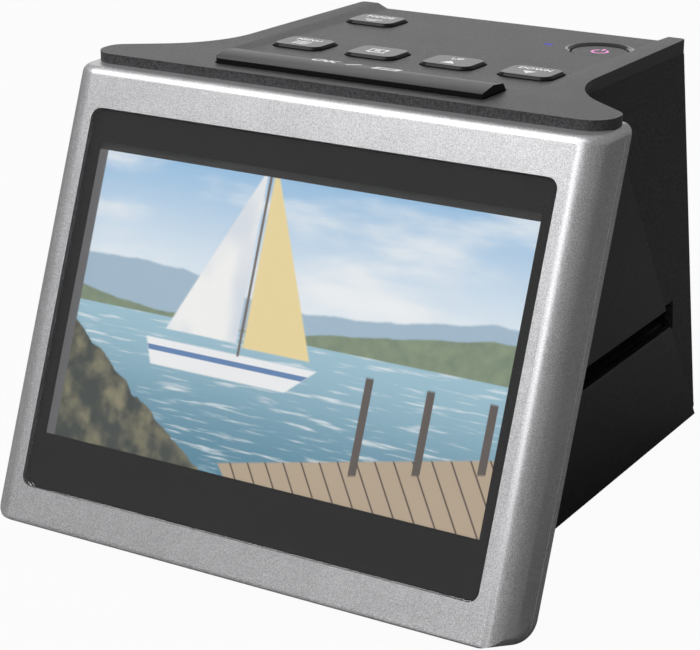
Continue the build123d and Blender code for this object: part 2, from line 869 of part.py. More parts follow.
with BuildPart() as ok_bar:
    with BuildSketch(Plane.XY.offset(bezel_top_z)) as bar_plan:
        with Locations((0, bar_middle_y)):
            Rectangle(bar_width, bar_depth)
        fillet(bar_plan.vertices().group_by(Axis.X)[0], bar_end_radius)
    extrude(amount=3 * cover_slab)
    with BuildSketch(Plane(cover.origin, x_dir=cover.y_dir, z_dir=(1, 0, 0))):
        Polygon(
            (bar_front, -3 * cover_slab),
            (bar_front, bar_front_wall),
            (bar_crest_front, bar_rise_front),
            (bar_crest_rear, bar_rise_rear),
            (bar_front + bar_depth, 0),
            (bar_front + bar_depth, -3 * cover_slab),
            align=None,
        )
    extrude(amount=bar_width, both=True, mode=Mode.INTERSECT)
    with BuildSketch(Plane.XY.offset(bezel_top_z - key_seat_gap)):
        with Locations((0, bar_middle_y)):
            Rectangle(bar_width + 2 * key_flange, bar_depth + 2 * key_flange)
    extrude(amount=-key_flange_thickness)
    with BuildSketch(Plane.XY.offset(bezel_top_z)):
        with Locations((0, bar_middle_y)):
            Rectangle(bar_width - 2 * key_bevel, bar_depth - 2 * key_bevel)
    extrude(amount=-key_seat_gap)
    with BuildSketch(keypad.offset(-stem_foot)):
        with Locations((0, bar_row_y)):
            Circle(key_stem_radius)
    extrude(until=Until.NEXT)
finish(ok_bar.part, "ok_bar")

with BuildPart() as power_button:
    with BuildSketch(keypad.offset(-key_seat)):
        with Locations(power_place):
            Circle(power_radius)
    extrude(amount=key_seat - power_dish)
    power_top = power_button.faces().filter_by(keypad).sort_by(Axis.Z)[-1]
    fillet(power_top.edges(), key_gap)
    with BuildSketch(keypad.offset(-key_seat)):
        with Locations(power_place):
            Circle(power_radius + key_flange)
    extrude(amount=-key_flange_thickness)
    with BuildSketch(keypad.offset(-key_seat)):
        with Locations(power_place):
            Circle(key_stem_radius)
    extrude(amount=key_seat - stem_foot)
    with BuildSketch(keypad.offset(-power_dish)):
        with Locations(power_place):
            add(power_mark())
    extrude(amount=-symbol_depth, mode=Mode.SUBTRACT)
finish(power_button.part, "power_button")

with BuildPart() as power_symbol:
    with BuildSketch(keypad.offset(-power_dish)):
        with Locations(power_place):
            add(power_mark())
    extrude(amount=-symbol_depth)
finish(power_symbol.part, "power_symbol")

with BuildPart() as power_ring:
    with BuildSketch(keypad.offset(-power_ring_depth)):
        with Locations(power_place):
            Circle(power_outer_radius - fastener_play)
            Circle(power_radius + key_gap, mode=Mode.SUBTRACT)
    extrude(amount=power_ring_depth)
    inner_rim = power_ring.faces().filter_by(keypad).sort_by(Axis.Z)[-1].edges().sort_by(SortBy.RADIUS)[0]
    bore = power_ring.faces().filter_by(GeomType.CYLINDER).sort_by(SortBy.AREA)[0]
    chamfer(inner_rim, power_dish, power_ring_width - 2 * fastener_play, reference=bore)
finish(power_ring.part, "power_ring")

with BuildPart() as status_light:
    with BuildSketch(keypad):
        with Locations(status_place):
            Rectangle(status_width, status_depth)
    extrude(amount=led_height - key_board_drop)
finish(status_light.part, "status_light")

# ------------------------------------------------------------------ key board
with BuildPart() as key_board:
    with BuildSketch(keypad.offset(-key_board_drop)):
        with Locations((0, (key_board_front + key_board_rear) / 2 - key_row)):
            Rectangle(2 * key_board_half_width, key_board_rear - key_board_front)
        with Locations(*key_post_places):
            Circle(screw_radius + fastener_play, mode=Mode.SUBTRACT)
    extrude(amount=-board_thickness)
finish(key_board.part, "key_board")

with BuildPart() as key_switches:
    with BuildSketch(keypad.offset(-key_board_drop)):
        with Locations(*switch_places):
            Rectangle(switch_size, switch_size)
    extrude(amount=switch_height)
    with BuildSketch(keypad.offset(switch_height - key_board_drop)):
        with Locations(*switch_places):
            Circle(plunger_radius)
    extrude(amount=plunger_height)
finish(key_switches.part, "key_switches")

key_board_under = keypad.offset(-key_board_drop - board_thickness)
key_board_facing = Plane(key_board_under.origin, x_dir=(-1, 0, 0), z_dir=-keypad.z_dir)
finish(
    screw(
        key_board_facing,
        [(-x, y) for x, y in key_post_places],
        screw_radius,
        screw_length,
        screw_head_radius,
        screw_head_height,
    ),
    "key_board_screws",
)

# ------------------------------------------------------------------ rear housing
slot_middle_y = (slot_front_y + slot_rear_y) / 2
slot_width = slot_rear_y - slot_front_y
socket_plane_z = interface_z + board_thickness
mouth_y = wall_y(socket_plane_z) - socket_recess
case_screw_z = base_bottom_z + case_screw_head_height
case_screws = [
    (x, y) for x in (-case_screw_x, case_screw_x) for y in (case_screw_front_y, case_screw_rear_y)
]
sockets = [
    (card_x, card_width, card_height),
    (video_x, video_width, video_height),
    (supply_x, supply_width, supply_height),
]

with BuildPart() as rear_housing:
    add(housing_block(housing_bottom_z, cover_top_z, 0))
    add(housing_block(housing_bottom_z, cover_top_z, wall), mode=Mode.SUBTRACT)
    with BuildSketch(Plane.XY.offset(housing_bottom_z)):
        with Locations(*case_screws):
            Circle(case_post_radius)
    extrude(amount=case_post_height)
    with BuildSketch(back):
        with Locations(*frame_screws):
            Circle(case_post_radius)
    extrude(amount=-frame_post_length)
    with BuildSketch(back):
        with Locations(*frame_screws):
            Circle(screw_radius + fastener_play)
    extrude(amount=-screw_length, mode=Mode.SUBTRACT)
    with BuildSketch(Plane.XY.offset(housing_bottom_z)):
        with Locations(*case_screws):
            Circle(case_screw_radius + fastener_play)
    extrude(amount=case_screw_length, mode=Mode.SUBTRACT)
    split(bisect_by=back, keep=Keep.BOTTOM)
    split(bisect_by=keypad.offset(-keypad_thickness), keep=Keep.BOTTOM)
    with BuildSketch(Plane.XY.offset(housing_slot_bottom_z)):
        with Locations((0, slot_middle_y)):
            Rectangle(display_width, slot_width)
    extrude(amount=housing_slot_top_z - housing_slot_bottom_z, mode=Mode.SUBTRACT)
    for socket_x, socket_width, socket_height in sockets:
        with BuildSketch(Plane.XZ.offset(-overall_depth)):
            with Locations((socket_x, socket_plane_z + socket_height / 2)):
                Rectangle(socket_width + 2 * socket_clear, socket_height + 2 * socket_clear)
        extrude(amount=overall_depth / 2 + 4 * wall, mode=Mode.SUBTRACT)
    with BuildPart(mode=Mode.PRIVATE) as rear_corners:
        add(housing_block(housing_bottom_z, cover_top_z, 0))
        upright = rear_corners.edges().filter_by(lambda edge: edge.center().Y > overall_depth / 4)
        fillet(upright.filter_by(lambda edge: abs(edge.tangent_at(0).Z) > tilt_sin), cover_rear_radius)
    add(rear_corners.part, mode=Mode.INTERSECT)
finish(rear_housing.part, "rear_housing")


# ------------------------------------------------------------------ side panels and base
def panel_y(z):
    """Rear end of the raked side panels at a height."""
    return panel_foot_y - (z - base_bottom_z) * tan(radians(panel_slope))


def panel_block(z_low, z_high):
    """Both side panels' outer form between two heights, ending at the rake."""
    with BuildPart() as block:
        with BuildSketch(Plane.YZ):
            Polygon(
                (-overall_depth, z_low),
                (panel_y(z_low), z_low),
                (panel_y(z_high), z_high),
                (-overall_depth, z_high),
                align=None,
            )
        extrude(amount=panel_half_width, both=True)
        outer_sides = block.faces().filter_by(Plane.YZ)
        chamfer(outer_sides.edges(), panel_edge)
        split(bisect_by=back, keep=Keep.BOTTOM)
    return block.part


with BuildPart() as upper_panels:
    add(panel_block(slot_top_z, panel_top_z))
    add(housing_block(base_bottom_z, cover_top_z, -skin_gap), mode=Mode.SUBTRACT)
panel_sides = upper_panels.part.solids().sort_by(Axis.X)
finish(Part() + panel_sides[0], "upper_side_panel_left")
finish(Part() + panel_sides[-1], "upper_side_panel_right")

with BuildPart() as base_shell:
    add(panel_block(base_bottom_z, slot_bottom_z))
    with BuildPart(mode=Mode.PRIVATE) as above_plate:
        add(housing_block(housing_bottom_z, cover_top_z, -skin_gap))
    add(above_plate.part, mode=Mode.SUBTRACT)
    with BuildSketch(Plane.YZ):
        Polygon(
            (0, base_bottom_z),
            (panel_foot_y, base_bottom_z),
            (overall_depth / 2 - base_step, housing_bottom_z - base_step),
            (overall_depth / 2 - base_step, housing_bottom_z),
            (0, housing_bottom_z),
            align=None,
        )
    extrude(amount=wall_x(housing_bottom_z), both=True)
    with BuildSketch(Plane.XY.offset(base_bottom_z)):
        with Locations(*feet):
            Circle(foot_boss_radius)
    extrude(amount=-foot_boss_height)
    with BuildSketch(Plane.XY.offset(base_bottom_z - foot_boss_height)):
        with Locations(*feet):
            Circle(foot_radius + fastener_play)
    extrude(amount=foot_seat, mode=Mode.SUBTRACT)
    with BuildSketch(Plane.XY.offset(housing_bottom_z)):
        with Locations(*guide_posts):
            Circle(guide_post_radius)
    extrude(amount=guide_floor_z - guide_plate - housing_bottom_z)
    with BuildSketch(Plane.XY.offset(guide_floor_z - guide_plate)):
        with Locations(*guide_posts):
            Circle(case_screw_radius + fastener_play)
    extrude(amount=-guide_screw_bite, mode=Mode.SUBTRACT)
    with BuildSketch(Plane.XY.offset(housing_bottom_z)):
        with Locations(*light_posts):
            Circle(light_post_radius)
    extrude(amount=light_board_z - housing_bottom_z)
    with BuildSketch(Plane.XY.offset(housing_bottom_z)):
        with Locations(*interface_screws):
            Circle(interface_post_radius)
    extrude(amount=interface_z - housing_bottom_z)
    with BuildSketch(Plane.XY.offset(light_board_z)):
        with Locations(*light_posts):
            Circle(screw_radius + fastener_play)
    extrude(amount=base_plate - light_board_z + base_bottom_z, mode=Mode.SUBTRACT)
    with BuildSketch(Plane.XY.offset(interface_z)):
        with Locations(*interface_screws):
            Circle(screw_radius + fastener_play)
    extrude(amount=-screw_length, mode=Mode.SUBTRACT)
    with BuildSketch(Plane.XY.offset(base_bottom_z)):
        with Locations(*case_screws):
            Circle(case_screw_radius + fastener_play)
    extrude(amount=base_plate, mode=Mode.SUBTRACT)
    with BuildSketch(Plane.XY.offset(base_bottom_z)):
        with Locations(*case_screws):
            Circle(case_screw_head_radius + fastener_play)
    extrude(amount=case_screw_head_height, mode=Mode.SUBTRACT)
finish(base_shell.part, "base_shell")

with BuildPart() as rubber_feet:
    with BuildSketch(Plane.XY):
        with Locations(*feet):
            Circle(foot_radius)
    extrude(amount=base_bottom_z - foot_boss_height + foot_seat)
    sole_rims = rubber_feet.edges().filter_by(GeomType.CIRCLE).group_by(Axis.Z)[0]
    chamfer(sole_rims, foot_seat)
finish(rubber_feet.part, "rubber_feet")

case_facing = Plane((0, 0, case_screw_z), x_dir=(1, 0, 0), z_dir=(0, 0, -1))
finish(
    screw(
        case_facing,
        [(x, -y) for x, y in case_screws],
        case_screw_radius,
        case_screw_length,
        case_screw_head_radius,
        case_screw_head_height,
    ),
    "case_screws",
)

# ------------------------------------------------------------------ film path
guide_width = slot_width + 2 * guide_rim
guide_top_z = slot_top_z + guide_plate

with BuildPart() as film_guide_lower:
    with BuildSketch(Plane.XY.offset(guide_floor_z - guide_plate)):
        with Locations((0, slot_middle_y)):
            Rectangle(2 * guide_half_length, guide_width)
        with Locations((0, gate_y)):
            Rectangle(frame_length, frame_width, mode=Mode.SUBTRACT)
    extrude(amount=guide_plate)
    with BuildSketch(Plane.XY.offset(guide_floor_z)):
        with Locations((0, slot_front_y - guide_rim / 2), (0, slot_rear_y + guide_rim / 2)):
            Rectangle(2 * guide_half_length, guide_rim)
    extrude(amount=slot_top_z - guide_floor_z)
    with BuildSketch(Plane.XY.offset(slot_top_z)):
        with Locations(*guide_posts):
            Circle(case_screw_radius + fastener_play)
    extrude(amount=guide_floor_z - guide_plate - slot_top_z, mode=Mode.SUBTRACT)
finish(film_guide_lower.part, "film_guide_lower")

with BuildPart() as film_guide_upper:
    with BuildSketch(Plane.XY.offset(slot_top_z)):
        with Locations((0, slot_middle_y)):
            Rectangle(2 * guide_half_length, guide_width)
        with Locations((0, gate_y)):
            Rectangle(frame_length, frame_width, mode=Mode.SUBTRACT)
        with Locations(*guide_posts):
            Circle(case_screw_radius + fastener_play, mode=Mode.SUBTRACT)
        with Locations(*tower_screws):
            Circle(screw_radius + fastener_play, mode=Mode.SUBTRACT)
    extrude(amount=guide_plate)
finish(film_guide_upper.part, "film_guide_upper")

finish(
    screw(
        Plane.XY.offset(guide_top_z),
        guide_posts,
        case_screw_radius,
        case_screw_length + guide_screw_bite / 2,
        case_screw_head_radius,
        case_screw_head_height,
    ),
    "guide_screws",
)

# ------------------------------------------------------------------ backlight
light_top_z = guide_floor_z - guide_plate
light_floor_z = light_board_z + board_thickness

with BuildPart() as backlight_board:
    with BuildSketch(Plane.XY.offset(light_board_z)):
        with Locations((0, gate_y)):
            Rectangle(light_board_length, light_board_width)
        with Locations(*light_posts):
            Circle(screw_radius + fastener_play, mode=Mode.SUBTRACT)
    extrude(amount=board_thickness)
finish(backlight_board.part, "backlight_board")

finish(
    screw(
        Plane.XY.offset(light_floor_z),
        light_posts,
        screw_radius,
        screw_length,
        screw_head_radius,
        screw_head_height,
    ),
    "backlight_screws",
)

with BuildPart() as backlight_leds:
    with BuildSketch(Plane.XY.offset(light_floor_z)):
        with Locations((0, gate_y)):
            with GridLocations(led_pitch_x, led_pitch_y, led_columns, led_rows):
                Rectangle(led_length, led_width)
    extrude(amount=led_thickness)
finish(backlight_leds.part, "backlight_leds")

with BuildPart() as light_box:
    with BuildSketch(Plane.XY.offset(light_floor_z)):
        with Locations((0, gate_y)):
            Rectangle(light_box_length, light_box_width)
            Rectangle(
                light_box_length - 2 * light_box_wall,
                light_box_width - 2 * light_box_wall,
                mode=Mode.SUBTRACT,
            )
    extrude(amount=light_top_z - light_floor_z)
    with BuildSketch(Plane.XY.offset(light_top_z)):
        with Locations((0, gate_y)):
            Rectangle(light_box_length - light_box_wall, light_box_width - light_box_wall)
    extrude(amount=-diffuser_thickness - skin_gap, mode=Mode.SUBTRACT)
finish(light_box.part, "light_box")

with BuildPart() as light_diffuser:
    with BuildSketch(Plane.XY.offset(light_top_z - skin_gap)):
        with Locations((0, gate_y)):
            Rectangle(
                light_box_length - light_box_wall - 2 * skin_gap,
                light_box_width - light_box_wall - 2 * skin_gap,
            )
    extrude(amount=-diffuser_thickness)
finish(light_diffuser.part, "light_diffuser")

# ------------------------------------------------------------------ camera tower
tower_roof_z = guide_top_z + tower_height
sensor_board_z = tower_roof_z + sensor_spacer

with BuildPart() as optics_tower:
    with BuildSketch(Plane.XY.offset(guide_top_z)):
        with Locations((0, gate_y)):
            Rectangle(tower_foot_length, tower_foot_width)
    with BuildSketch(Plane.XY.offset(tower_roof_z)):
        with Locations((0, gate_y)):
            Rectangle(tower_head, tower_head)
    loft(ruled=True)
    with BuildPart(mode=Mode.PRIVATE) as tower_inside:
        with BuildSketch(Plane.XY.offset(guide_top_z)):
            with Locations((0, gate_y)):
                Rectangle(tower_foot_length - 2 * tower_wall, tower_foot_width - 2 * tower_wall)
        with BuildSketch(Plane.XY.offset(tower_roof_z - tower_roof)):
            with Locations((0, gate_y)):
                Rectangle(tower_head - tower_wall, tower_head - tower_wall)
        loft(ruled=True)
    add(tower_inside.part, mode=Mode.SUBTRACT)
    with BuildSketch(Plane.XY.offset(tower_roof_z)):
        with Locations((0, gate_y)):
            Circle(lens_barrel_radius + fastener_play)
    extrude(amount=-tower_roof - tower_wall, mode=Mode.SUBTRACT)
    with BuildSketch(Plane.XY.offset(tower_roof_z)):
        with Locations(*sensor_screws):
            Circle(standoff_radius)
    extrude(amount=sensor_spacer)
    with BuildSketch(Plane.XY.offset(sensor_board_z)):
        with Locations(*sensor_screws):
            Circle(screw_radius + fastener_play)
    extrude(amount=-screw_length, mode=Mode.SUBTRACT)
    with BuildSketch(Plane.XY.offset(guide_top_z)):
        with Locations(*tower_screws):
            Circle(tower_ear_radius)
    extrude(amount=tower_ear_height)
    with BuildSketch(Plane.XY.offset(guide_top_z)):
        with Locations(*tower_screws):
            Circle(screw_radius + fastener_play)
    extrude(amount=tower_ear_height, mode=Mode.SUBTRACT)
finish(optics_tower.part, "optics_tower")

finish(
    screw(
        Plane.XY.offset(guide_top_z + tower_ear_height),
        tower_screws,
        screw_radius,
        tower_ear_height + guide_plate - skin_gap,
        screw_head_radius,
        screw_head_height,
    ),
    "tower_screws",
)

with BuildPart() as lens_barrel:
    with BuildSketch(Plane.XY.offset(tower_roof_z)):
        with Locations((0, gate_y)):
            Circle(lens_barrel_radius)
    extrude(amount=-lens_barrel_length)
    with BuildSketch(Plane.XY.offset(tower_roof_z - lens_barrel_length)):
        with Locations((0, gate_y)):
            Circle(lens_bore_radius)
    extrude(amount=lens_barrel_length / 4, mode=Mode.SUBTRACT)
    barrel_rims = lens_barrel.edges().filter_by(GeomType.CIRCLE).group_by(Axis.Z)[0]
    chamfer(barrel_rims, lens_barrel_chamfer)
finish(lens_barrel.part, "lens_barrel")

with BuildPart() as sensor_board:
    with BuildSketch(Plane.XY.offset(sensor_board_z)):
        with Locations((0, gate_y)):
            Rectangle(sensor_board_size, sensor_board_size)
        with Locations(*sensor_screws):
            Circle(screw_radius + fastener_play, mode=Mode.SUBTRACT)
    extrude(amount=board_thickness)
finish(sensor_board.part, "sensor_board")

with BuildPart() as image_sensor:
    with BuildSketch(Plane.XY.offset(sensor_board_z)):
        with Locations((0, gate_y)):
            Rectangle(sensor_size, sensor_size)
    extrude(amount=-sensor_height)
finish(image_sensor.part, "image_sensor")

finish(
    screw(
        Plane.XY.offset(sensor_board_z + board_thickness),
        sensor_screws,
        screw_radius,
        screw_length,
        screw_head_radius,
        screw_head_height,
    ),
    "sensor_screws",
)

# ------------------------------------------------------------------ interface board and sockets
with BuildPart() as interface_board:
    with BuildSketch(Plane.XY.offset(interface_z)):
        with Locations((0, interface_front_y)):
            Rectangle(
                2 * interface_half_width,
                interface_rear_y - interface_front_y,
                align=(Align.CENTER, Align.MIN),
            )
        with Locations(*interface_screws):
            Circle(screw_radius + fastener_play, mode=Mode.SUBTRACT)
    extrude(amount=board_thickness)
finish(interface_board.part, "interface_board")

finish(
    screw(
        Plane.XY.offset(socket_plane_z),
        interface_screws,
        screw_radius,
        screw_length,
        screw_head_radius,
        screw_head_height,
    ),
    "interface_screws",
)


def socket_piece(x, width, depth, height, opening_width, opening_height):
    """Board-mounted socket with its mouth just inside the rear wall."""
    with BuildPart() as socket:
        with BuildSketch(Plane.XY.offset(socket_plane_z)):
            with Locations((x, mouth_y)):
                Rectangle(width, depth, align=(Align.CENTER, Align.MAX))
        extrude(amount=height)
        mouth = socket.faces().sort_by(Axis.Y)[-1]
        with BuildSketch(Plane(mouth.center(), x_dir=(1, 0, 0), z_dir=(0, 1, 0))):
            Rectangle(opening_width, opening_height)
        extrude(amount=opening_height - depth, mode=Mode.SUBTRACT)
    return socket.part


finish(
    socket_piece(card_x, card_width, card_depth, card_height, card_slot_width, card_slot_height),
    "card_socket",
)
finish(
    socket_piece(
        video_x,
        video_width,
        video_depth,
        video_height,
        video_width - 2 * socket_wall,
        video_height - 2 * socket_wall,
    ),
    "video_socket",
)
finish(
    socket_piece(
        supply_x,
        supply_width,
        supply_depth,
        supply_height,
        supply_width - 2 * socket_wall,
        supply_height - 2 * socket_wall,
    ),
    "usb_socket",
)
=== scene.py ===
"""Film negative scanner: finishes, printed signs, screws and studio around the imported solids."""

import logging
import math
from contextlib import contextmanager
from dataclasses import dataclass, field
from enum import Enum
from typing import Iterator, Optional, Sequence, Union

import bmesh
import bpy
from mathutils import Matrix, Vector


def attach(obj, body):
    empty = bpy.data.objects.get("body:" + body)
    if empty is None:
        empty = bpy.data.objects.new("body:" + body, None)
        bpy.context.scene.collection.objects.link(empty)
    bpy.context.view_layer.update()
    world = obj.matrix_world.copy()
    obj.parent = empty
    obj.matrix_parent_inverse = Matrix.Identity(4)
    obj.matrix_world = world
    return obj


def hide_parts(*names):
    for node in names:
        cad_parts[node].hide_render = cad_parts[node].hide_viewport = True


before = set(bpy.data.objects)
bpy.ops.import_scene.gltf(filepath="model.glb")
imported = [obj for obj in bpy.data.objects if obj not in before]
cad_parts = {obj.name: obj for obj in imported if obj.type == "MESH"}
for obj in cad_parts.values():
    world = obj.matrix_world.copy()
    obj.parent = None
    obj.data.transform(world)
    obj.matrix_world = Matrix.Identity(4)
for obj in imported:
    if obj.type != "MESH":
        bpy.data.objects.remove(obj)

log = logging.getLogger("scanner")

MM = 0.001
PER_METRE = 1000.0

# Mesh work: corners nearer than this join, in millimetres, and angles in degrees.
WELD = 0.002
FLAT_ANGLE = 0.4
ROUND_ANGLE = 32.0
CREASE_ANGLE = 42.0

# Printing, in millimetres, and the shape of its letters.
INK = 0.03
STROKE = 0.5
LETTER_SCALE = 1.4
LETTER_BOLD = 0.04
LETTER_WELD = 0.0005
WHITE_INK = (0.92, 0.92, 0.92)

# A screw's cross recess and shank, as shares of its head's radius, and the recess's depth of
# the head's height.
RECESS_LENGTH = 1.1
RECESS_WIDTH = 0.26
RECESS_DEPTH = 1.2
SHANK_RADIUS = 0.52

Point2 = tuple[float, float]
Point3 = tuple[float, float, float]
Colour = tuple[float, float, float]
Value = Union[float, Sequence[float], "Field"]
Socket = bpy.types.NodeSocket
Finish = bpy.types.Material


# ---------------------------------------------------------------- places on the scanner
@dataclass(frozen=True)
class Slope:
    """A flat working surface of the scanner, with millimetre coordinates of its own.

    Args:
        origin: Place of the surface's own zero, in millimetres.
        normal: Direction that the surface faces.
    """

    origin: Point3
    normal: Point3

    def matrix(self) -> Matrix:
        """Returns the turn and shift from surface millimetres to the scanner's metres."""
        out = Vector(self.normal).normalized()
        across = Vector((1.0, 0.0, 0.0))
        up = out.cross(across)
        turn = Matrix((across, up, out)).transposed().to_4x4()
        return Matrix.Translation(Vector(self.origin) * MM) @ turn @ Matrix.Scale(MM, 4)

    def at(self, x: float, y: float, height: float = 0.0) -> Vector:
        """Returns a surface place as a point in the scanner's metres.

        Args:
            x: Millimetres to the right.
            y: Millimetres up or back along the surface.
            height: Millimetres out of the surface.
        """
        return self.matrix() @ Vector((x, y, height))


def leaning(angle: float) -> Point3:
    """Returns the upward direction of a surface that falls to the rear by an angle in degrees."""
    return (0.0, math.sin(math.radians(angle)), math.cos(math.radians(angle)))


TILT = math.radians(21.7)
FACE = Slope((0.0, -70.109, 6.0765), (0.0, -math.cos(TILT), math.sin(TILT)))
KEYPAD = Slope((0.0, 8.151, 101.792), leaning(1.35))
COVER = Slope((0.0, -28.055, 103.45), leaning(1.12))


# ---------------------------------------------------------------- shader writing
class Field:
    """A shader socket that takes part in Python arithmetic."""

    def __init__(self, sheet: "Sheet", socket: Socket) -> None:
        """Wraps a socket.

        Args:
            sheet: The material sheet that the socket is on.
            socket: The output socket.
        """
        self.sheet = sheet
        self.socket = socket

    def _math(self, operation: str, first: Value, second: Value) -> "Field":
        """Returns one Math node's result.

        Args:
            operation: Name of the Math operation.
            first: Left value.
            second: Right value.
        """
        return self.sheet.read("ShaderNodeMath", {"operation": operation}, {0: first, 1: second})

    def __add__(self, other: Value) -> "Field":
        """Returns the sum."""
        return self._math("ADD", self, other)

    __radd__ = __add__

    def __mul__(self, other: Value) -> "Field":
        """Returns the product."""
        return self._math("MULTIPLY", self, other)

    __rmul__ = __mul__

    def __sub__(self, other: Value) -> "Field":
        """Returns the difference."""
        return self._math("SUBTRACT", self, other)

    def __rsub__(self, other: Value) -> "Field":
        """Returns the difference, the other way round."""
        return self._math("SUBTRACT", other, self)

    def __truediv__(self, other: Value) -> "Field":
        """Returns the quotient."""
        return self._math("DIVIDE", self, other)

    def __abs__(self) -> "Field":
        """Returns the size without its sign."""
        return self._math("ABSOLUTE", self, 0.0)

    def sine(self) -> "Field":
        """Returns the sine of the value in radians."""
        return self._math("SINE", self, 0.0)

    def largest(self, other: Value) -> "Field":
        """Returns the larger of two values."""
        return self._math("MAXIMUM", self, other)

    def rise(self, start: float, end: float) -> "Field":
        """Returns a smooth step from 0 at start to 1 at end."""
        settings = {"interpolation_type": "SMOOTHSTEP"}
        sockets = {"Value": self, "From Min": start, "From Max": end}
        return self.sheet.read("ShaderNodeMapRange", settings, sockets)

    def within(self, low: float, high: float, soft: float) -> "Field":
        """Returns 1 between two values and 0 outside them, with soft edges."""
        return self.rise(low - soft, low + soft) * (1.0 - self.rise(high - soft, high + soft))


def new_node(tree: bpy.types.NodeTree, kind: str, settings: dict, sockets: dict) -> bpy.types.Node:
    """Adds a node to a tree.

    Args:
        tree: The node tree.
        kind: The node's type name.
        settings: Its own settings, which are set first.
        sockets: Values or links of its input sockets, by name or number.

    Returns:
        The new node.
    """
    made = tree.nodes.new(kind)
    for name, value in settings.items():
        setattr(made, name, value)
    for name, value in sockets.items():
        source = value.socket if isinstance(value, Field) else value
        if isinstance(source, Socket):
            tree.links.new(source, made.inputs[name])
        else:
            made.inputs[name].default_value = source
    return made


class Sheet:
    """The node sheet of one material or world while it is being written."""

    def __init__(self, name: str, shelf: str = "materials") -> None:
        """Opens an empty sheet.

        Args:
            name: The material's or world's name.
            shelf: Where Blender keeps it: materials or worlds.
        """
        self.owner = getattr(bpy.data, shelf).new(name)
        self.owner.use_nodes = True
        self.tree = self.owner.node_tree
        self.tree.nodes.clear()

    def node(self, kind: str, settings: dict, sockets: dict) -> bpy.types.Node:
        """Adds a node with its settings and sockets and returns it."""
        return new_node(self.tree, kind, settings, sockets)

    def read(self, kind: str, settings: dict, sockets: dict, output: Union[int, str] = 0) -> Field:
        """Adds a node and returns one of its outputs.

        Args:
            kind: The node's type name.
            settings: Its own settings.
            sockets: Values or links of its input sockets.
            output: Name or number of the output.
        """
        return Field(self, self.node(kind, settings, sockets).outputs[output])

    def place(self) -> Field:
        """Returns the object coordinates, which are the scanner's own metres."""
        return self.read("ShaderNodeTexCoord", {}, {}, "Object")

    def axes(self) -> tuple[Field, Field, Field]:
        """Returns the object coordinates along X, Y and Z, in millimetres."""
        split = self.node("ShaderNodeSeparateXYZ", {}, {0: self.place()})
        return tuple(Field(self, split.outputs[i]) * PER_METRE for i in range(3))

    def noise(self, size: float, detail: float = 2.0, place: Optional[Field] = None) -> Field:
        """Returns a noise value.

        Args:
            size: Rough size of its spots, in millimetres, or in thousandths of the coordinates.
            detail: How many finer layers it has.
            place: Coordinates to use in place of the object's.
        """
        where = place or self.place()
        sockets = {"Vector": where, "Scale": PER_METRE / size, "Detail": detail}
        return self.read("ShaderNodeTexNoise", {}, sockets)

    def mix(self, low: Value, high: Value, amount: Value) -> Field:
        """Returns a colour between two colours."""
        sockets = {0: amount, 6: _rgba(low), 7: _rgba(high)}
        return self.read("ShaderNodeMix", {"data_type": "RGBA"}, sockets, 2)

    def bump(self, height: Field, depth: float, strength: float = 1.0) -> Field:
        """Returns a surface normal that follows a height.

        Args:
            height: The relief from 0 to 1.
            depth: Its depth in millimetres.
            strength: Share of the relief that shows.
        """
        sockets = {"Strength": strength, "Distance": depth * MM, "Height": height}
        return self.read("ShaderNodeBump", {}, sockets)

    def surface(self, **sockets: Value) -> Finish:
        """Ends the sheet in one Principled shader.

        Args:
            sockets: Its sockets, with underscores in place of spaces.

        Returns:
            The finished material.
        """
        named = {k.replace("_", " "): _rgba(v) for k, v in sockets.items()}
        self.end(self.node("ShaderNodeBsdfPrincipled", {}, named))
        return self.owner

    def end(self, shader: bpy.types.Node, kind: str = "ShaderNodeOutputMaterial") -> None:
        """Ends the sheet in a shader.

        Args:
            shader: The shader's node.
            kind: The output node's type name.
        """
        self.node(kind, {}, {"Surface": shader.outputs[0]})


def _rgba(value: Value) -> Value:
    """Returns a three-part colour with its fourth part, and anything else as it is."""
    if isinstance(value, tuple) and len(value) == 3:
        return (*value, 1.0)
    return value


def scaled(colour: Colour, factor: float) -> Colour:
    """Returns a colour made darker or lighter by a factor."""
    return tuple(factor * c for c in colour)


Pair = tuple[Field, Field]


# ---------------------------------------------------------------- finishes
@dataclass(frozen=True)
class SilverPaint:
    """Satin silver paint with fine flakes, on moulded plastic."""

    name: str = "silver_paint"
    colour: Colour = (0.47, 0.47, 0.48)
    flake: float = 0.2
    roughness: float = 0.32
    dark: float = 0.74
    light: float = 1.26

    def material(self) -> Finish:
        """Returns the paint's material."""
        sheet = Sheet(self.name)
        flakes = sheet.noise(self.flake, 0.0).rise(0.34, 0.66)
        clouds = sheet.noise(9.0, 2.0)
        dark, light = scaled(self.colour, self.dark), scaled(self.colour, self.light)
        return sheet.surface(
            Base_Color=sheet.mix(dark, light, flakes * 0.8 + clouds * 0.2),
            Metallic=0.8,
            Roughness=flakes * 0.10 + clouds * 0.05 + self.roughness,
            Coat_Weight=0.15,
            Coat_Roughness=0.25,
            Normal=sheet.bump(flakes, 0.006, 0.4),
        )


@dataclass(frozen=True)
class GrainedPlastic:
    """Moulded plastic with a fine spark-eroded grain."""

    name: str
    colour: Colour
    grain: float = 0.45
    depth: float = 0.03
    roughness: float = 0.5
    specular: float = 0.5
    dark: float = 0.45
    light: float = 1.60

    def material(self) -> Finish:
        """Returns the plastic's material."""
        sheet = Sheet(self.name)
        grain = sheet.noise(self.grain, 1.0).rise(0.3, 0.7)
        clouds = sheet.noise(14.0, 3.0)
        dark, light = scaled(self.colour, self.dark), scaled(self.colour, self.light)
        return sheet.surface(
            Base_Color=sheet.mix(dark, light, grain * 0.8 + clouds * 0.2),
            Roughness=grain * 0.12 + clouds * 0.06 + (self.roughness - 0.09),
            Specular_IOR_Level=self.specular,
            Normal=sheet.bump(grain, self.depth, 0.6),
        )


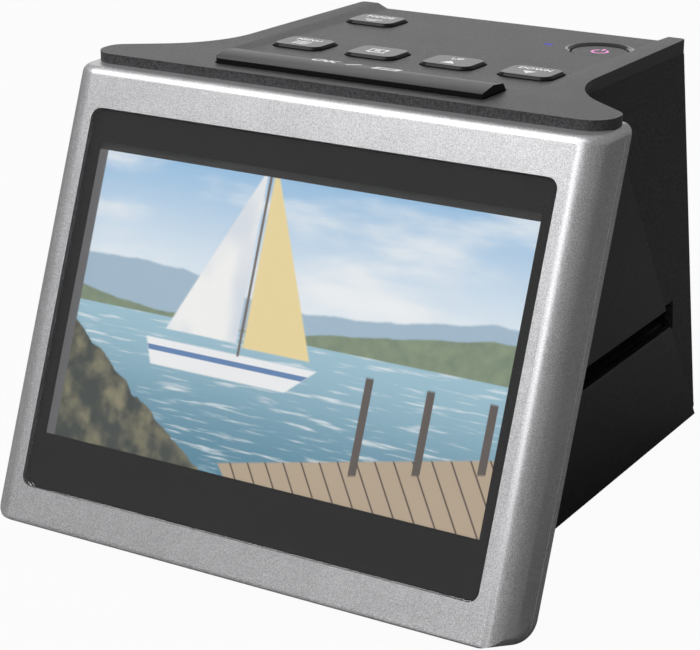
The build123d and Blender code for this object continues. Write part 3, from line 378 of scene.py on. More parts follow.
@dataclass(frozen=True)
class SmoothPlastic:
    """Polished or satin plastic with a trace of handling."""

    name: str
    colour: Colour
    roughness: float = 0.15
    specular: float = 0.5
    dark: float = 0.88
    light: float = 1.12

    def material(self) -> Finish:
        """Returns the plastic's material."""
        sheet = Sheet(self.name)
        smears = sheet.noise(7.0, 4.0)
        ripple = sheet.noise(2.5, 2.0)
        dark, light = scaled(self.colour, self.dark), scaled(self.colour, self.light)
        return sheet.surface(
            Base_Color=sheet.mix(dark, light, smears),
            Roughness=smears * 0.08 + (self.roughness - 0.04),
            Specular_IOR_Level=self.specular,
            Normal=sheet.bump(ripple, 0.004, 0.3),
        )


@dataclass(frozen=True)
class PrintedFilm:
    """Flat screen print on the back of a clear window."""

    name: str
    colour: Colour

    def material(self) -> Finish:
        """Returns the print's material."""
        sheet = Sheet(self.name)
        screen = sheet.noise(0.12, 1.0)
        thin = sheet.noise(18.0, 2.0)
        light = scaled(self.colour, 1.25)
        return sheet.surface(
            Base_Color=sheet.mix(self.colour, light, screen * 0.5 + thin * 0.5),
            Roughness=screen * 0.1 + 0.5,
            Specular_IOR_Level=0.1,
        )


@dataclass(frozen=True)
class Metal:
    """Bare, plated or anodised metal with fine drawn lines."""

    name: str
    colour: Colour
    roughness: float = 0.3

    def material(self) -> Finish:
        """Returns the metal's material."""
        sheet = Sheet(self.name)
        sockets = {"Vector": sheet.place(), "Scale": (1.0, 1.0, 14.0)}
        drawn = sheet.read("ShaderNodeMapping", {}, sockets)
        lines = sheet.noise(2.0, 3.0, drawn)
        dark = scaled(self.colour, 0.86)
        return sheet.surface(
            Base_Color=sheet.mix(dark, self.colour, lines),
            Metallic=1.0,
            Roughness=lines * 0.12 + (self.roughness - 0.06),
            Normal=sheet.bump(lines, 0.006, 0.4),
        )


@dataclass(frozen=True)
class Rubber:
    """Matt rubber or closed foam."""

    name: str
    colour: Colour = (0.03, 0.03, 0.03)

    def material(self) -> Finish:
        """Returns the rubber's material."""
        sheet = Sheet(self.name)
        pores = sheet.noise(0.6, 3.0)
        light = scaled(self.colour, 1.5)
        return sheet.surface(
            Base_Color=sheet.mix(self.colour, light, pores),
            Roughness=pores * 0.1 + 0.75,
            Normal=sheet.bump(pores, 0.05, 0.5),
        )


@dataclass(frozen=True)
class BoardLacquer:
    """Solder lacquer over copper tracks and small pads."""

    name: str
    colour: Colour = (0.02, 0.13, 0.05)

    def material(self) -> Finish:
        """Returns the board's material."""
        sheet = Sheet(self.name)
        across, along, up = sheet.axes()
        tracks = abs((across * 2.1).sine()).rise(0.86, 0.93) * sheet.noise(6.0).rise(0.45, 0.5)
        rails = abs(((along + up) * 1.7).sine()).rise(0.86, 0.93) * sheet.noise(8.0).rise(0.5, 0.55)
        lines = tracks.largest(rails)
        cells = {"Vector": sheet.place(), "Scale": 300.0}
        pads = 1.0 - sheet.read("ShaderNodeTexVoronoi", {}, cells, "Distance").rise(0.10, 0.14)
        lighter = tuple(min(1.0, 1.9 * c + 0.01) for c in self.colour)
        lacquer = sheet.mix(self.colour, lighter, lines)
        return sheet.surface(
            Base_Color=sheet.mix(lacquer, (0.75, 0.72, 0.66), pads),
            Metallic=pads * 0.8,
            Roughness=0.35 - pads * 0.1,
            Normal=sheet.bump(lines, 0.03, 0.6),
        )


@dataclass(frozen=True)
class ClearAcrylic:
    """Hard-coated clear acrylic."""

    name: str = "clear_acrylic"
    specular: float = 0.14

    def material(self) -> Finish:
        """Returns the acrylic's material."""
        sheet = Sheet(self.name)
        smears = sheet.noise(22.0, 4.0)
        return sheet.surface(
            Base_Color=sheet.mix((0.97, 0.97, 0.97), (1.0, 1.0, 1.0), smears),
            Roughness=smears * 0.02,
            Transmission_Weight=1.0,
            IOR=1.49,
            Specular_IOR_Level=self.specular,
        )


@dataclass(frozen=True)
class LitPlastic:
    """Translucent plastic lit from behind."""

    name: str
    colour: Colour
    glow: float = 1.0

    def material(self) -> Finish:
        """Returns the lit plastic's material."""
        sheet = Sheet(self.name)
        cloud = sheet.noise(1.2, 2.0)
        lit = sheet.mix(scaled(self.colour, 0.75), self.colour, cloud)
        return sheet.surface(
            Base_Color=lit,
            Roughness=0.4,
            Specular_IOR_Level=0.1,
            Emission_Color=lit,
            Emission_Strength=self.glow,
        )


@dataclass(frozen=True)
class ScreenPicture:
    """A lit screen with a plain harbour view: pale sky, far hills, a white boat and a jetty."""

    name: str = "screen_picture"
    left: float = -53.2
    width: float = 107.6
    height: float = 67.6
    bottom: float = 20.4
    glow: float = 0.92
    border: Colour = (0.13, 0.13, 0.135)

    def material(self) -> Finish:
        """Returns the lit screen's material."""
        sheet = Sheet(self.name)
        x, y, z = sheet.axes()
        slope_y = FACE.origin[1] * math.sin(TILT) + FACE.origin[2] * math.cos(TILT)
        s = (x - self.left) / self.width
        t = (y * math.sin(TILT) + z * math.cos(TILT) - (slope_y + self.bottom)) / self.height
        picture = self._sky(sheet, s, t)
        for layer in (self._hills, self._water, self._boat, self._jetty):
            picture = layer(sheet, picture, s, t)
        lit = s.within(0.0, 1.0, 0.002) * t.within(0.0, 1.0, 0.003)
        picture = sheet.mix(self.border, picture, lit)
        return sheet.surface(
            Base_Color=(0.02, 0.02, 0.022),
            Roughness=0.25,
            Emission_Color=picture,
            Emission_Strength=self.glow,
        )

    def _noise(self, sheet: Sheet, place: Pair, wide: float, tall: float, detail: float) -> Field:
        """Returns a noise with so many spots across and up the picture, and its finer layers."""
        s, t = place
        spread = sheet.read("ShaderNodeCombineXYZ", {}, {0: s * wide, 1: t * tall})
        return sheet.noise(PER_METRE, detail, spread)

    def _sky(self, sheet: Sheet, s: Field, t: Field) -> Field:
        """Returns the sky with drifting clouds."""
        blue = sheet.mix((0.80, 0.88, 0.94), (0.28, 0.52, 0.78), t.rise(0.5, 1.05))
        cloud = self._noise(sheet, (s, t), 2.2, 5.0, 5.0).rise(0.46, 0.68)
        return sheet.mix(blue, (0.92, 0.94, 0.95), cloud * 0.9)

    def _hills(self, sheet: Sheet, under: Field, s: Field, t: Field) -> Field:
        """Returns the view with two ranges of hills over it."""
        rough = self._noise(sheet, (s, t), 6.0, 0.0, 4.0)
        far = (s * 7.0 + 0.9).sine() * 0.035 + rough * 0.07 + 0.555
        near = (s * 4.1 + 3.4).sine() * 0.06 + rough * 0.05 + 0.50
        trees = self._noise(sheet, (s, t), 34.0, 22.0, 5.0)
        view = sheet.mix(under, (0.36, 0.50, 0.62), 1.0 - (t - far).rise(-0.006, 0.006))
        green = sheet.mix((0.10, 0.17, 0.12), (0.30, 0.36, 0.22), trees)
        return sheet.mix(view, green, 1.0 - (t - near).rise(-0.005, 0.005))

    def _water(self, sheet: Sheet, under: Field, s: Field, t: Field) -> Field:
        """Returns the view with rippled water below the shore."""
        ripple = self._noise(sheet, (s, t), 9.0, 60.0, 4.0)
        deep = sheet.mix((0.08, 0.24, 0.34), (0.34, 0.55, 0.66), t.rise(0.0, 0.5))
        water = sheet.mix(deep, (0.82, 0.88, 0.90), ripple.rise(0.52, 0.72) * 0.75)
        return sheet.mix(under, water, 1.0 - t.rise(0.455, 0.462))

    def _boat(self, sheet: Sheet, under: Field, s: Field, t: Field) -> Field:
        """Returns the view with a moored sailing boat in it."""
        soft = 0.004
        above = t - 0.30
        keel = above.rise(-soft, soft) * (1.0 - (t - 0.385).rise(-soft, soft))
        bow = (0.52 - s + above * 0.75).rise(-soft, soft)
        stern = (s - 0.20 + above * 0.25).rise(-soft, soft)
        hull = keel * bow * stern
        main = (t - 0.42).rise(-soft, soft) * (0.392 - s).rise(-soft, soft)
        main = main * (s * 3.3 - t - 0.31).rise(-soft * 3.0, soft * 3.0)
        jib = (t - 0.41).rise(-soft, soft) * (s - 0.408).rise(-soft, soft)
        jib = jib * (2.55 - s * 3.8 - t).rise(-soft * 3.0, soft * 3.0)
        mast = s.within(0.397, 0.403, 0.0015) * t.within(0.38, 0.97, 0.004)
        shade = self._noise(sheet, (s, t), 7.0, 3.0, 2.0)
        cloth = sheet.mix((0.72, 0.77, 0.84), (0.95, 0.95, 0.93), shade.rise(0.35, 0.6))
        view = sheet.mix(under, (0.90, 0.91, 0.92), hull)
        view = sheet.mix(view, (0.10, 0.22, 0.45), hull * t.within(0.345, 0.362, 0.002))
        view = sheet.mix(view, cloth, main)
        view = sheet.mix(view, (0.86, 0.70, 0.34), jib)
        return sheet.mix(view, (0.16, 0.13, 0.11), mast)

    def _jetty(self, sheet: Sheet, under: Field, s: Field, t: Field) -> Field:
        """Returns the view with a timber jetty and its posts in the foreground."""
        lean = s - 0.58
        deck = (lean * 0.34 + 0.10 - t).rise(-0.005, 0.005)
        deck = deck * (s - 0.42 + t * 0.5).rise(-0.004, 0.004)
        planks = abs((s * 70.0 + t * 28.0).sine()).rise(0.08, 0.22)
        wood = sheet.mix((0.10, 0.07, 0.05), (0.47, 0.37, 0.26), planks)
        posts = (s * 47.0).sine().rise(0.90, 0.94) * (s - 0.60).rise(0.0, 0.01)
        posts = posts * t.within(0.0, 0.40, 0.006) * (t - lean * 0.34 - 0.05).rise(0.0, 0.01)
        shore = self._noise(sheet, (s, t), 16.0, 9.0, 5.0)
        bank = (0.34 - s * 1.1 - t + shore * 0.10).rise(-0.006, 0.006)
        reeds = sheet.mix((0.03, 0.04, 0.035), (0.24, 0.22, 0.13), shore.rise(0.4, 0.7))
        view = sheet.mix(under, reeds, bank)
        view = sheet.mix(view, wood, deck)
        return sheet.mix(view, (0.09, 0.07, 0.06), posts)


# ---------------------------------------------------------------- mesh work
class Edge(Enum):
    """How much of a piece's sharp edges is rounded, in millimetres."""

    BARE = 0.0
    CRISP = 0.08
    SOFT = 0.16
    FULL = 0.28


def mesh_object(name: str, mesh: bpy.types.Mesh) -> bpy.types.Object:
    """Returns a new scene object at the origin.

    Args:
        name: The object's name.
        mesh: Its mesh, already in the scanner's metres.
    """
    obj = bpy.data.objects.new(name, mesh)
    bpy.context.scene.collection.objects.link(obj)
    return obj


def plain_mesh(obj: bpy.types.Object) -> bpy.types.Mesh:
    """Returns what an object's modifiers make of it, as a mesh of its own."""
    graph = bpy.context.evaluated_depsgraph_get()
    graph.update()
    return bpy.data.meshes.new_from_object(obj.evaluated_get(graph))


def settle(obj: bpy.types.Object) -> None:
    """Makes an object's modifiers part of its mesh."""
    result = plain_mesh(obj)
    obj.modifiers.clear()
    obj.data = result


@contextmanager
def editing(mesh: bpy.types.Mesh) -> Iterator[bmesh.types.BMesh]:
    """Opens a mesh for editing and writes it back at the end."""
    shape = bmesh.new()
    shape.from_mesh(mesh)
    yield shape
    shape.to_mesh(mesh)
    shape.free()


def smooth_by_angle(mesh: bpy.types.Mesh, angle: float) -> None:
    """Shades a mesh smooth except over edges sharper than an angle in degrees."""
    limit = math.radians(angle)
    with editing(mesh) as shape:
        for face in shape.faces:
            face.smooth = True
        for edge in shape.edges:
            edge.smooth = len(edge.link_faces) == 2 and edge.calc_face_angle(0.0) < limit


def copied_solid(node: str, edge: Edge) -> bpy.types.Object:
    """Makes a joined and evenly shaded copy of a solid's mesh, to stand for it.

    Args:
        node: The solid's name.
        edge: How far its sharp edges are rounded.

    Returns:
        The copy, which already replaces the solid.
    """
    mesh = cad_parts[node].data.copy()
    with editing(mesh) as shape:
        bmesh.ops.remove_doubles(shape, verts=shape.verts, dist=WELD * MM)
        if edge is not Edge.BARE:
            flat = math.radians(FLAT_ANGLE)
            bmesh.ops.dissolve_limit(shape, angle_limit=flat, verts=shape.verts, edges=shape.edges)
    mesh.materials.clear()
    obj = mesh_object(f"{node}_shell", mesh)
    if edge is not Edge.BARE:
        bevel = obj.modifiers.new("edges", "BEVEL")
        bevel.width = edge.value * MM
        bevel.segments = 2
        bevel.limit_method = "ANGLE"
        bevel.angle_limit = math.radians(ROUND_ANGLE)
        bevel.use_clamp_overlap = True
        settle(obj)
    smooth_by_angle(obj.data, CREASE_ANGLE)
    obj.modifiers.new("even", "WEIGHTED_NORMAL").keep_sharp = True
    settle(obj)
    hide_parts(node)
    return obj


def slab_mesh(name: str, outlines: Sequence[Sequence[Point2]], place: Matrix) -> bpy.types.Mesh:
    """Makes printed plates from flat outlines.

    Args:
        name: The mesh's name.
        outlines: Corner lists in millimetres, each going round anticlockwise.
        place: Turn and shift from those millimetres to the scanner's metres.

    Returns:
        The mesh in the scanner's metres.
    """
    mesh = bpy.data.meshes.new(name)
    with editing(mesh) as shape:
        for outline in outlines:
            low = [shape.verts.new((x, y, 0.0)) for x, y in outline]
            high = [shape.verts.new((x, y, INK)) for x, y in outline]
            shape.faces.new(list(reversed(low)))
            shape.faces.new(high)
            for i, corner in enumerate(low):
                after = (i + 1) % len(low)
                shape.faces.new((corner, low[after], high[after], high[i]))
        bmesh.ops.recalc_face_normals(shape, faces=shape.faces)
        shape.transform(place)
    return mesh


def word_mesh(name: str, words: str, size: float, place: Matrix) -> bpy.types.Mesh:
    """Makes printed words.

    Args:
        name: The mesh's name.
        words: What it says.
        size: Letter height in millimetres.
        place: Turn and shift from the sign's millimetres to the scanner's metres.

    Returns:
        The mesh in the scanner's metres.
    """
    curve = bpy.data.curves.new(name, "FONT")
    curve.body = words
    curve.size = size * LETTER_SCALE
    curve.align_x = "CENTER"
    curve.align_y = "CENTER"
    curve.extrude = INK / 2.0
    curve.offset = size * LETTER_BOLD
    curve.resolution_u = 4
    holder = bpy.data.objects.new(name, curve)
    bpy.context.scene.collection.objects.link(holder)
    mesh = plain_mesh(holder)
    bpy.data.objects.remove(holder)
    bpy.data.curves.remove(curve)
    with editing(mesh) as shape:
        bmesh.ops.remove_doubles(shape, verts=shape.verts, dist=LETTER_WELD)
        shape.transform(place @ Matrix.Translation((0.0, 0.0, INK / 2.0)))
    return mesh


# ---------------------------------------------------------------- geometry node trees
class Tree:
    """A geometry node tree with named inputs."""

    def __init__(self, name: str, sizes: dict[str, float]) -> None:
        """Opens a tree.

        Args:
            name: The tree's name.
            sizes: Its inputs and their values, in metres.
        """
        self.sizes = sizes
        self.group = bpy.data.node_groups.new(name, "GeometryNodeTree")
        face = self.group.interface
        face.new_socket("Geometry", in_out="INPUT", socket_type="NodeSocketGeometry")
        for label in sizes:
            face.new_socket(label, in_out="INPUT", socket_type="NodeSocketFloat")
        face.new_socket("Material", in_out="INPUT", socket_type="NodeSocketMaterial")
        face.new_socket("Geometry", in_out="OUTPUT", socket_type="NodeSocketGeometry")
        self.inlet = self.group.nodes.new("NodeGroupInput")
        self.outlet = self.group.nodes.new("NodeGroupOutput")

    def add(self, kind: str, sockets: dict, **settings: str) -> Socket:
        """Adds a node.

        Args:
            kind: The node's type name.
            sockets: Values or output sockets for its inputs, by name or number.
            settings: Its own settings.

        Returns:
            The new node's first output.
        """
        return new_node(self.group, kind, settings, sockets).outputs[0]

    def times(self, value: Socket, factor: float) -> Socket:
        """Returns a socket's value times a number."""
        return self.add("ShaderNodeMath", {0: value, 1: factor}, operation="MULTIPLY")

    def raised(self, solid: Socket, lift: Socket) -> Socket:
        """Returns a solid moved up by a lift."""
        shift = self.add("ShaderNodeCombineXYZ", {2: lift})
        return self.add("GeometryNodeTransform", {"Geometry": solid, "Translation": shift})

    def finish(self, geometry: Socket) -> None:
        """Ends the tree in real geometry with its material.

        Args:
            geometry: The instances to end with.
        """
        real = self.add("GeometryNodeRealizeInstances", {"Geometry": geometry})
        sockets = {"Geometry": real, "Material": self.inlet.outputs["Material"]}
        self.group.links.new(self.add("GeometryNodeSetMaterial", sockets), self.outlet.inputs[0])

    def mesh(self, start: bpy.types.Mesh, material: Finish) -> bpy.types.Mesh:
        """Runs the tree on a mesh of points.

        Args:
            start: The mesh whose points carry the repeats.
            material: The finish of the result.

        Returns:
            The result as a plain mesh.
        """
        holder = mesh_object("holder", start)
        modifier = holder.modifiers.new("repeat", "NODES")
        modifier.node_group = self.group
        for item in self.group.interface.items_tree:
            if item.in_out == "INPUT" and item.name in self.sizes:
                modifier[item.identifier] = self.sizes[item.name]
            if item.in_out == "INPUT" and item.name == "Material":
                modifier[item.identifier] = material
        holder.update_tag()
        result = plain_mesh(holder)
        bpy.data.objects.remove(holder)
        return result


def dome_screws(head_radius: float, head_height: float, shank: float, facing: Vector) -> Tree:
    """Builds the tree that sets a dome-headed screw with a cross recess on every point.

    Args:
        head_radius: Radius of the head in metres.
        head_height: Height of the head in metres.
        shank: Length of the shank in metres.
        facing: The way that the heads face.

    Returns:
        The tree.
    """
    sizes = {"Head radius": head_radius, "Head height": head_height, "Shank length": shank}
    tree = Tree("dome_screws", sizes)
    radius, height, length = (tree.inlet.outputs[label] for label in sizes)
    ball = tree.add("GeometryNodeMeshUVSphere", {"Segments": 32, "Rings": 16, "Radius": radius})
    ratio = tree.add("ShaderNodeMath", {0: height, 1: radius}, operation="DIVIDE")
    squash = tree.add("ShaderNodeCombineXYZ", {0: 1.0, 1: 1.0, 2: ratio})
    dome = tree.add("GeometryNodeTransform", {"Geometry": ball, "Scale": squash})
    cut = new_node(tree.group, "GeometryNodeMeshBoolean", {"operation": "DIFFERENCE"}, {0: dome})
    long, thin = tree.times(radius, RECESS_LENGTH), tree.times(radius, RECESS_WIDTH)
    deep = tree.times(height, RECESS_DEPTH)
    for across, along in ((long, thin), (thin, long)):
        size = tree.add("ShaderNodeCombineXYZ", {0: across, 1: along, 2: deep})
        bar = tree.raised(tree.add("GeometryNodeMeshCube", {"Size": size}), height)
        tree.group.links.new(bar, cut.inputs[1])
    sockets = {"Vertices": 24, "Radius": tree.times(radius, SHANK_RADIUS), "Depth": length}
    rod = tree.add("GeometryNodeMeshCylinder", sockets)
    whole = new_node(tree.group, "GeometryNodeJoinGeometry", {}, {})
    for part in (cut.outputs[0], tree.raised(rod, tree.times(length, -0.5))):
        tree.group.links.new(part, whole.inputs[0])
    turn = tree.add("FunctionNodeAlignRotationToVector", {"Vector": facing}, axis="Z")
    sockets = {"Points": tree.inlet.outputs[0], "Instance": whole.outputs[0], "Rotation": turn}
    tree.finish(tree.add("GeometryNodeInstanceOnPoints", sockets))
    return tree


# ---------------------------------------------------------------- sub-assemblies
@dataclass
class SubAssembly:
    """A group of nodes that are dressed together.

    Args:
        body: The body that carries what is added.
    """

    body: str = "scanner"
    made: list[str] = field(default_factory=list)

    def build(self) -> None:
        """Adds the group's own pieces, where it has any."""

    def dress(self) -> None:
        """Gives the group's unchanged solids their finishes, where it has any."""

    def paint(self, finishes: dict[str, Finish]) -> None:
        """Gives solids that stay as they are their finishes.

        Args:
            finishes: Each solid's name and its material.
        """
        for node, finish in finishes.items():
            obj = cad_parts[node]
            if not obj.material_slots:
                obj.data.materials.append(finish)
            for slot in obj.material_slots:
                slot.material = finish
            self.made.append(node)

    def carry(self, obj: bpy.types.Object, body: str, slot: str) -> None:
        """Lets a piece ride on a body.

        Args:
            obj: The piece.
            body: The body that carries it.
            slot: The record's material slot, which is not used.
        """
        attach(obj, body)
        self.made.append(obj.name)

    def shell(self, node: str, edge: Edge, body: str, slot: str, finish: Finish) -> None:
        """Replaces a solid by its evenly shaded copy.

        Args:
            node: The solid's name.
            edge: How far its edges are rounded.
            body: The body that carries it.
            slot: The record's material slot.
            finish: Its material.
        """
        obj = copied_solid(node, edge)
        obj.data.materials.append(finish)
        self.carry(obj, body, slot)

    def print_sign(self, name: str, mesh: bpy.types.Mesh, body: str, ink: Finish) -> None:
        """Adds a printed sign to a key.

        Args:
            name: The sign's name.
            mesh: Its mesh in the scanner's metres.
            body: The key's body.
            ink: Its material.
        """
        mesh.materials.clear()
        mesh.materials.append(ink)
        self.carry(mesh_object(name, mesh), body, "key_gloss")

    def report(self) -> None:
        """Logs every piece that the sub-assembly dressed."""
        for name in self.made:
            log.info("%s: %s", type(self).__name__, name)


@dataclass
class DisplayUnit(SubAssembly):
    """The leaning screen with its silver bezel."""

    lens_back: float = 2.0
    film_gap: float = 0.05

    def build(self) -> None:
        """Replaces the bezel's two mouldings and the lens, whose rear face clears the mask."""
        paint = SilverPaint().material()
        self.shell("front_bezel", Edge.BARE, self.body, "bezel_silver", paint)
        self.shell("bezel_rear_frame", Edge.BARE, self.body, "bezel_silver", paint)
        self.shell("display_lens", Edge.BARE, self.body, "lens_clear", ClearAcrylic().material())
        lens = bpy.data.objects["display_lens_shell"].data
        out = Vector(FACE.normal)
        for vertex in lens.vertices:
            depth = -(vertex.co - FACE.at(0.0, 0.0)).dot(out) / MM
            if depth > self.lens_back - self.film_gap:
                vertex.co += out * self.film_gap * MM

    def dress(self) -> None:
        """Gives the mask, screen and inner pieces their finishes."""
        self.paint(
            {
                "lens_mask": PrintedFilm("mask_print", (0.0022, 0.0022, 0.0024)).material(),
                "lcd_glass": ScreenPicture().material(),
                "lcd_gasket": Rubber("gasket_foam").material(),
                "lcd_tray": Metal("tray_sheet", (0.60, 0.60, 0.60), 0.35).material(),
                "lcd_holder": GrainedPlastic("holder_moulding", (0.03, 0.03, 0.03), 0.6).material(),
                "lcd_flex": SmoothPlastic("ribbon_film", (0.40, 0.18, 0.03), 0.3).material(),
            }
        )


def cover_plastic(name: str) -> Finish:
    """Returns the grained grey of the cover, under a name of its own."""
    tone = (0.036, 0.036, 0.038)
    return GrainedPlastic(name, tone, depth=0.05, roughness=0.45, specular=0.36).material()


@dataclass
class Housing(SubAssembly):
    """The cover, rear housing, side panels, base and feet."""

    rear_tone: Colour = (0.045, 0.045, 0.046)
    panel_tone: Colour = (0.024, 0.024, 0.0245)

    def build(self) -> None:
        """Replaces the outer mouldings by copies."""
        cover = cover_plastic("cover_grain")
        rear = GrainedPlastic("housing_grain", self.rear_tone, grain=0.6, depth=0.04, specular=0.12)
        satin = SmoothPlastic("panel_satin", self.panel_tone, roughness=0.28, specular=0.14)
        panel = satin.material()
        self.shell("top_cover", Edge.BARE, self.body, "cover_grey", cover)
        self.shell("rear_housing", Edge.CRISP, self.body, "housing_black", rear.material())
        for node in ("upper_side_panel_left", "upper_side_panel_right", "base_shell"):
            self.shell(node, Edge.CRISP, self.body, "panel_black", panel)

    def dress(self) -> None:
        """Gives the feet their rubber."""
        self.paint({"rubber_feet": Rubber("foot_rubber").material()})


@dataclass
class KeyField(SubAssembly):
    """The keys, the bar, the power key and their printed signs."""

    proud: float = 0.8
    word_rise: float = 2.0
    key_tone: Colour = (0.010, 0.010, 0.011)
    bar_tone: Colour = (0.006, 0.006, 0.0065)
    ring_tone: Colour = (0.006, 0.006, 0.006)
    power_tone: Colour = (0.72, 0.24, 0.52)
    status_tone: Colour = (0.004, 0.004, 0.36)
    keys: dict[str, Point2] = field(
        default_factory=lambda: {
            "left_key": (-28.95, 0.0),
            "centre_key": (-9.65, 0.0),
            "up_key": (9.65, 0.0),
            "down_key": (28.95, 0.0),
            "rear_key": (-29.6, 33.8),
        }
    )

    def build(self) -> None:
        """Replaces the keys, the bar, the power key and its ring by copies."""
        gloss = SmoothPlastic("key_gloss", self.key_tone, roughness=0.16, specular=0.14).material()
        satin = SmoothPlastic("bar_satin", self.bar_tone, roughness=0.22, specular=0.12).material()
        button = cover_plastic("power_face")
        ring = SmoothPlastic("ring_gloss", self.ring_tone, roughness=0.06, specular=0.8).material()
        for node in self.keys:
            self.shell(node, Edge.SOFT, f"{node}_body", "key_gloss", gloss)
        self.shell("ok_bar", Edge.FULL, "ok_bar_body", "key_gloss", satin)
        self.shell("power_button", Edge.BARE, "power_button_body", "button_grey", button)
        self.shell("power_ring", Edge.BARE, self.body, "ring_gloss", ring)

    def dress(self) -> None:
        """Lights the power sign and the status light, and prints the keys."""
        self.paint(
            {
                "power_symbol": LitPlastic("power_glow", self.power_tone, glow=0.8).material(),
                "status_light": LitPlastic("status_glow", self.status_tone, glow=0.9).material(),
            }
        )
        ink = SmoothPlastic("sign_ink", WHITE_INK, roughness=0.5, specular=0.3).material()
        for node, outlines in self._signs().items():
            mesh = slab_mesh(f"{node}_sign", outlines, self._top(node, 0.0))
            self.print_sign(f"{node}_sign", mesh, f"{node}_body", ink)
        for node, (words, size) in self._words().items():
            mesh = word_mesh(f"{node}_word", words, size, self._top(node, self.word_rise))
            self.print_sign(f"{node}_word", mesh, f"{node}_body", ink)

    def _top(self, node: str, rise: float) -> Matrix:
        """Returns the turn and shift onto a key's top, some millimetres behind its middle."""
        x, y = self.keys[node]
        return KEYPAD.matrix() @ Matrix.Translation((x, y + rise, self.proud))

    def _signs(self) -> dict[str, list[list[Point2]]]:
        """Returns each key's sign as outlines in millimetres about the key's middle."""
        return {
            "left_key": [self._box(0.0, y, 4.0, STROKE) for y in (-2.6, -1.4, -0.2)],
            "centre_key": [
                self._box(0.0, 1.5, 4.6, STROKE),
                self._box(0.0, -1.5, 4.6, STROKE),
                self._box(-2.05, 0.0, STROKE, 2.5),
                self._box(2.05, 0.0, STROKE, 2.5),
                self._box(0.0, 0.0, 1.6, 1.0),
            ],
            "up_key": [[(-1.7, -2.9), (1.7, -2.9), (0.0, -0.5)]],
            "down_key": [[(-1.7, -0.5), (0.0, -2.9), (1.7, -0.5)]],
            "rear_key": [self._box(0.0, -1.6, 4.6, STROKE), self._box(0.0, -2.8, 2.4, STROKE)],
        }

    def _words(self) -> dict[str, tuple[str, float]]:
        """Returns the plain word on each key and its letter height in millimetres."""
        return {
            "left_key": ("MENU", 1.7),
            "up_key": ("UP", 1.7),
            "down_key": ("DOWN", 1.7),
            "rear_key": ("MODE", 1.9),
        }

    @staticmethod
    def _box(x: float, y: float, wide: float, tall: float) -> list[Point2]:
        """Returns the corners of an upright rectangle about a middle."""
        a, b = wide / 2.0, tall / 2.0
        return [(x - a, y - b), (x + a, y - b), (x + a, y + b), (x - a, y + b)]


@dataclass
class BarSign(SubAssembly):
    """The plain sign on the long bar's crest."""

    body: str = "ok_bar_body"
    front: Point2 = (10.2, 2.1)
    rear: Point2 = (14.6, 1.6)
    word_left: float = -9.0
    letter: float = 3.2

    def build(self) -> None:
        """Prints the word, a stroke and an empty frame along the crest."""
        ink = SmoothPlastic("bar_ink", WHITE_INK, roughness=0.5, specular=0.3).material()
        place = self._crest()
        aside = place @ Matrix.Translation((self.word_left, 0.0, 0.0))
        word = word_mesh("bar_word", "OK", self.letter, aside)
        self.print_sign("bar_word", word, self.body, ink)
        outlines = [
            [(-2.9, -1.6), (-2.1, -1.6), (-0.4, 1.6), (-1.2, 1.6)],
            [(3.4, -1.6), (9.6, -1.6), (9.6, -0.8), (3.4, -0.8)],
            [(3.4, 0.9), (9.6, 0.9), (9.6, 1.6), (3.4, 1.6)],
            [(3.4, -0.8), (4.3, -0.8), (4.3, 0.9), (3.4, 0.9)],
            [(8.7, -0.8), (9.6, -0.8), (9.6, 0.9), (8.7, 0.9)],
        ]
        self.print_sign("bar_frame", slab_mesh("bar_frame", outlines, place), self.body, ink)

    def _crest(self) -> Matrix:
        """Returns the turn and shift onto the middle of the crest."""
        run = self.rear[0] - self.front[0]
        fall = self.rear[1] - self.front[1]
        middle = ((self.front[0] + self.rear[0]) / 2.0, (self.front[1] + self.rear[1]) / 2.0)
        turn = Matrix.Rotation(math.atan2(fall, run), 4, "X")
        return COVER.matrix() @ Matrix.Translation((0.0, middle[0], middle[1])) @ turn


@dataclass
class Fasteners(SubAssembly):
    """The outer screws, made by a node tree, and the plating of all the others."""

    head_radius: float = 1.9
    head_height: float = 1.1
    shank: float = 5.0
    across: float = 58.2
    rows: Point2 = (6.0, 96.5)
    seat: float = 12.8
    crease: float = 40.0

    def build(self) -> None:
        """Plates every group of screws and sets dome-headed ones into the rear frame."""
        plating = Metal("screw_body", (0.52, 0.52, 0.52), 0.3).material()
        self.paint({node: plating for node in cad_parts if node.endswith("screws")})
        steel = Metal("screw_plate", (0.55, 0.55, 0.55), 0.25).material()
        places = [FACE.at(x, y, -self.seat) for x in (-self.across, self.across) for y in self.rows]
        start = bpy.data.meshes.new("screw_places")
        start.from_pydata([tuple(place) for place in places], [], [])
        facing = -Vector(FACE.normal)
        tree = dome_screws(self.head_radius * MM, self.head_height * MM, self.shank * MM, facing)
        obj = mesh_object("bezel_screw_set", tree.mesh(start, steel))
        smooth_by_angle(obj.data, self.crease)
        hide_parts("bezel_screws")
        self.carry(obj, self.body, "screw_steel")


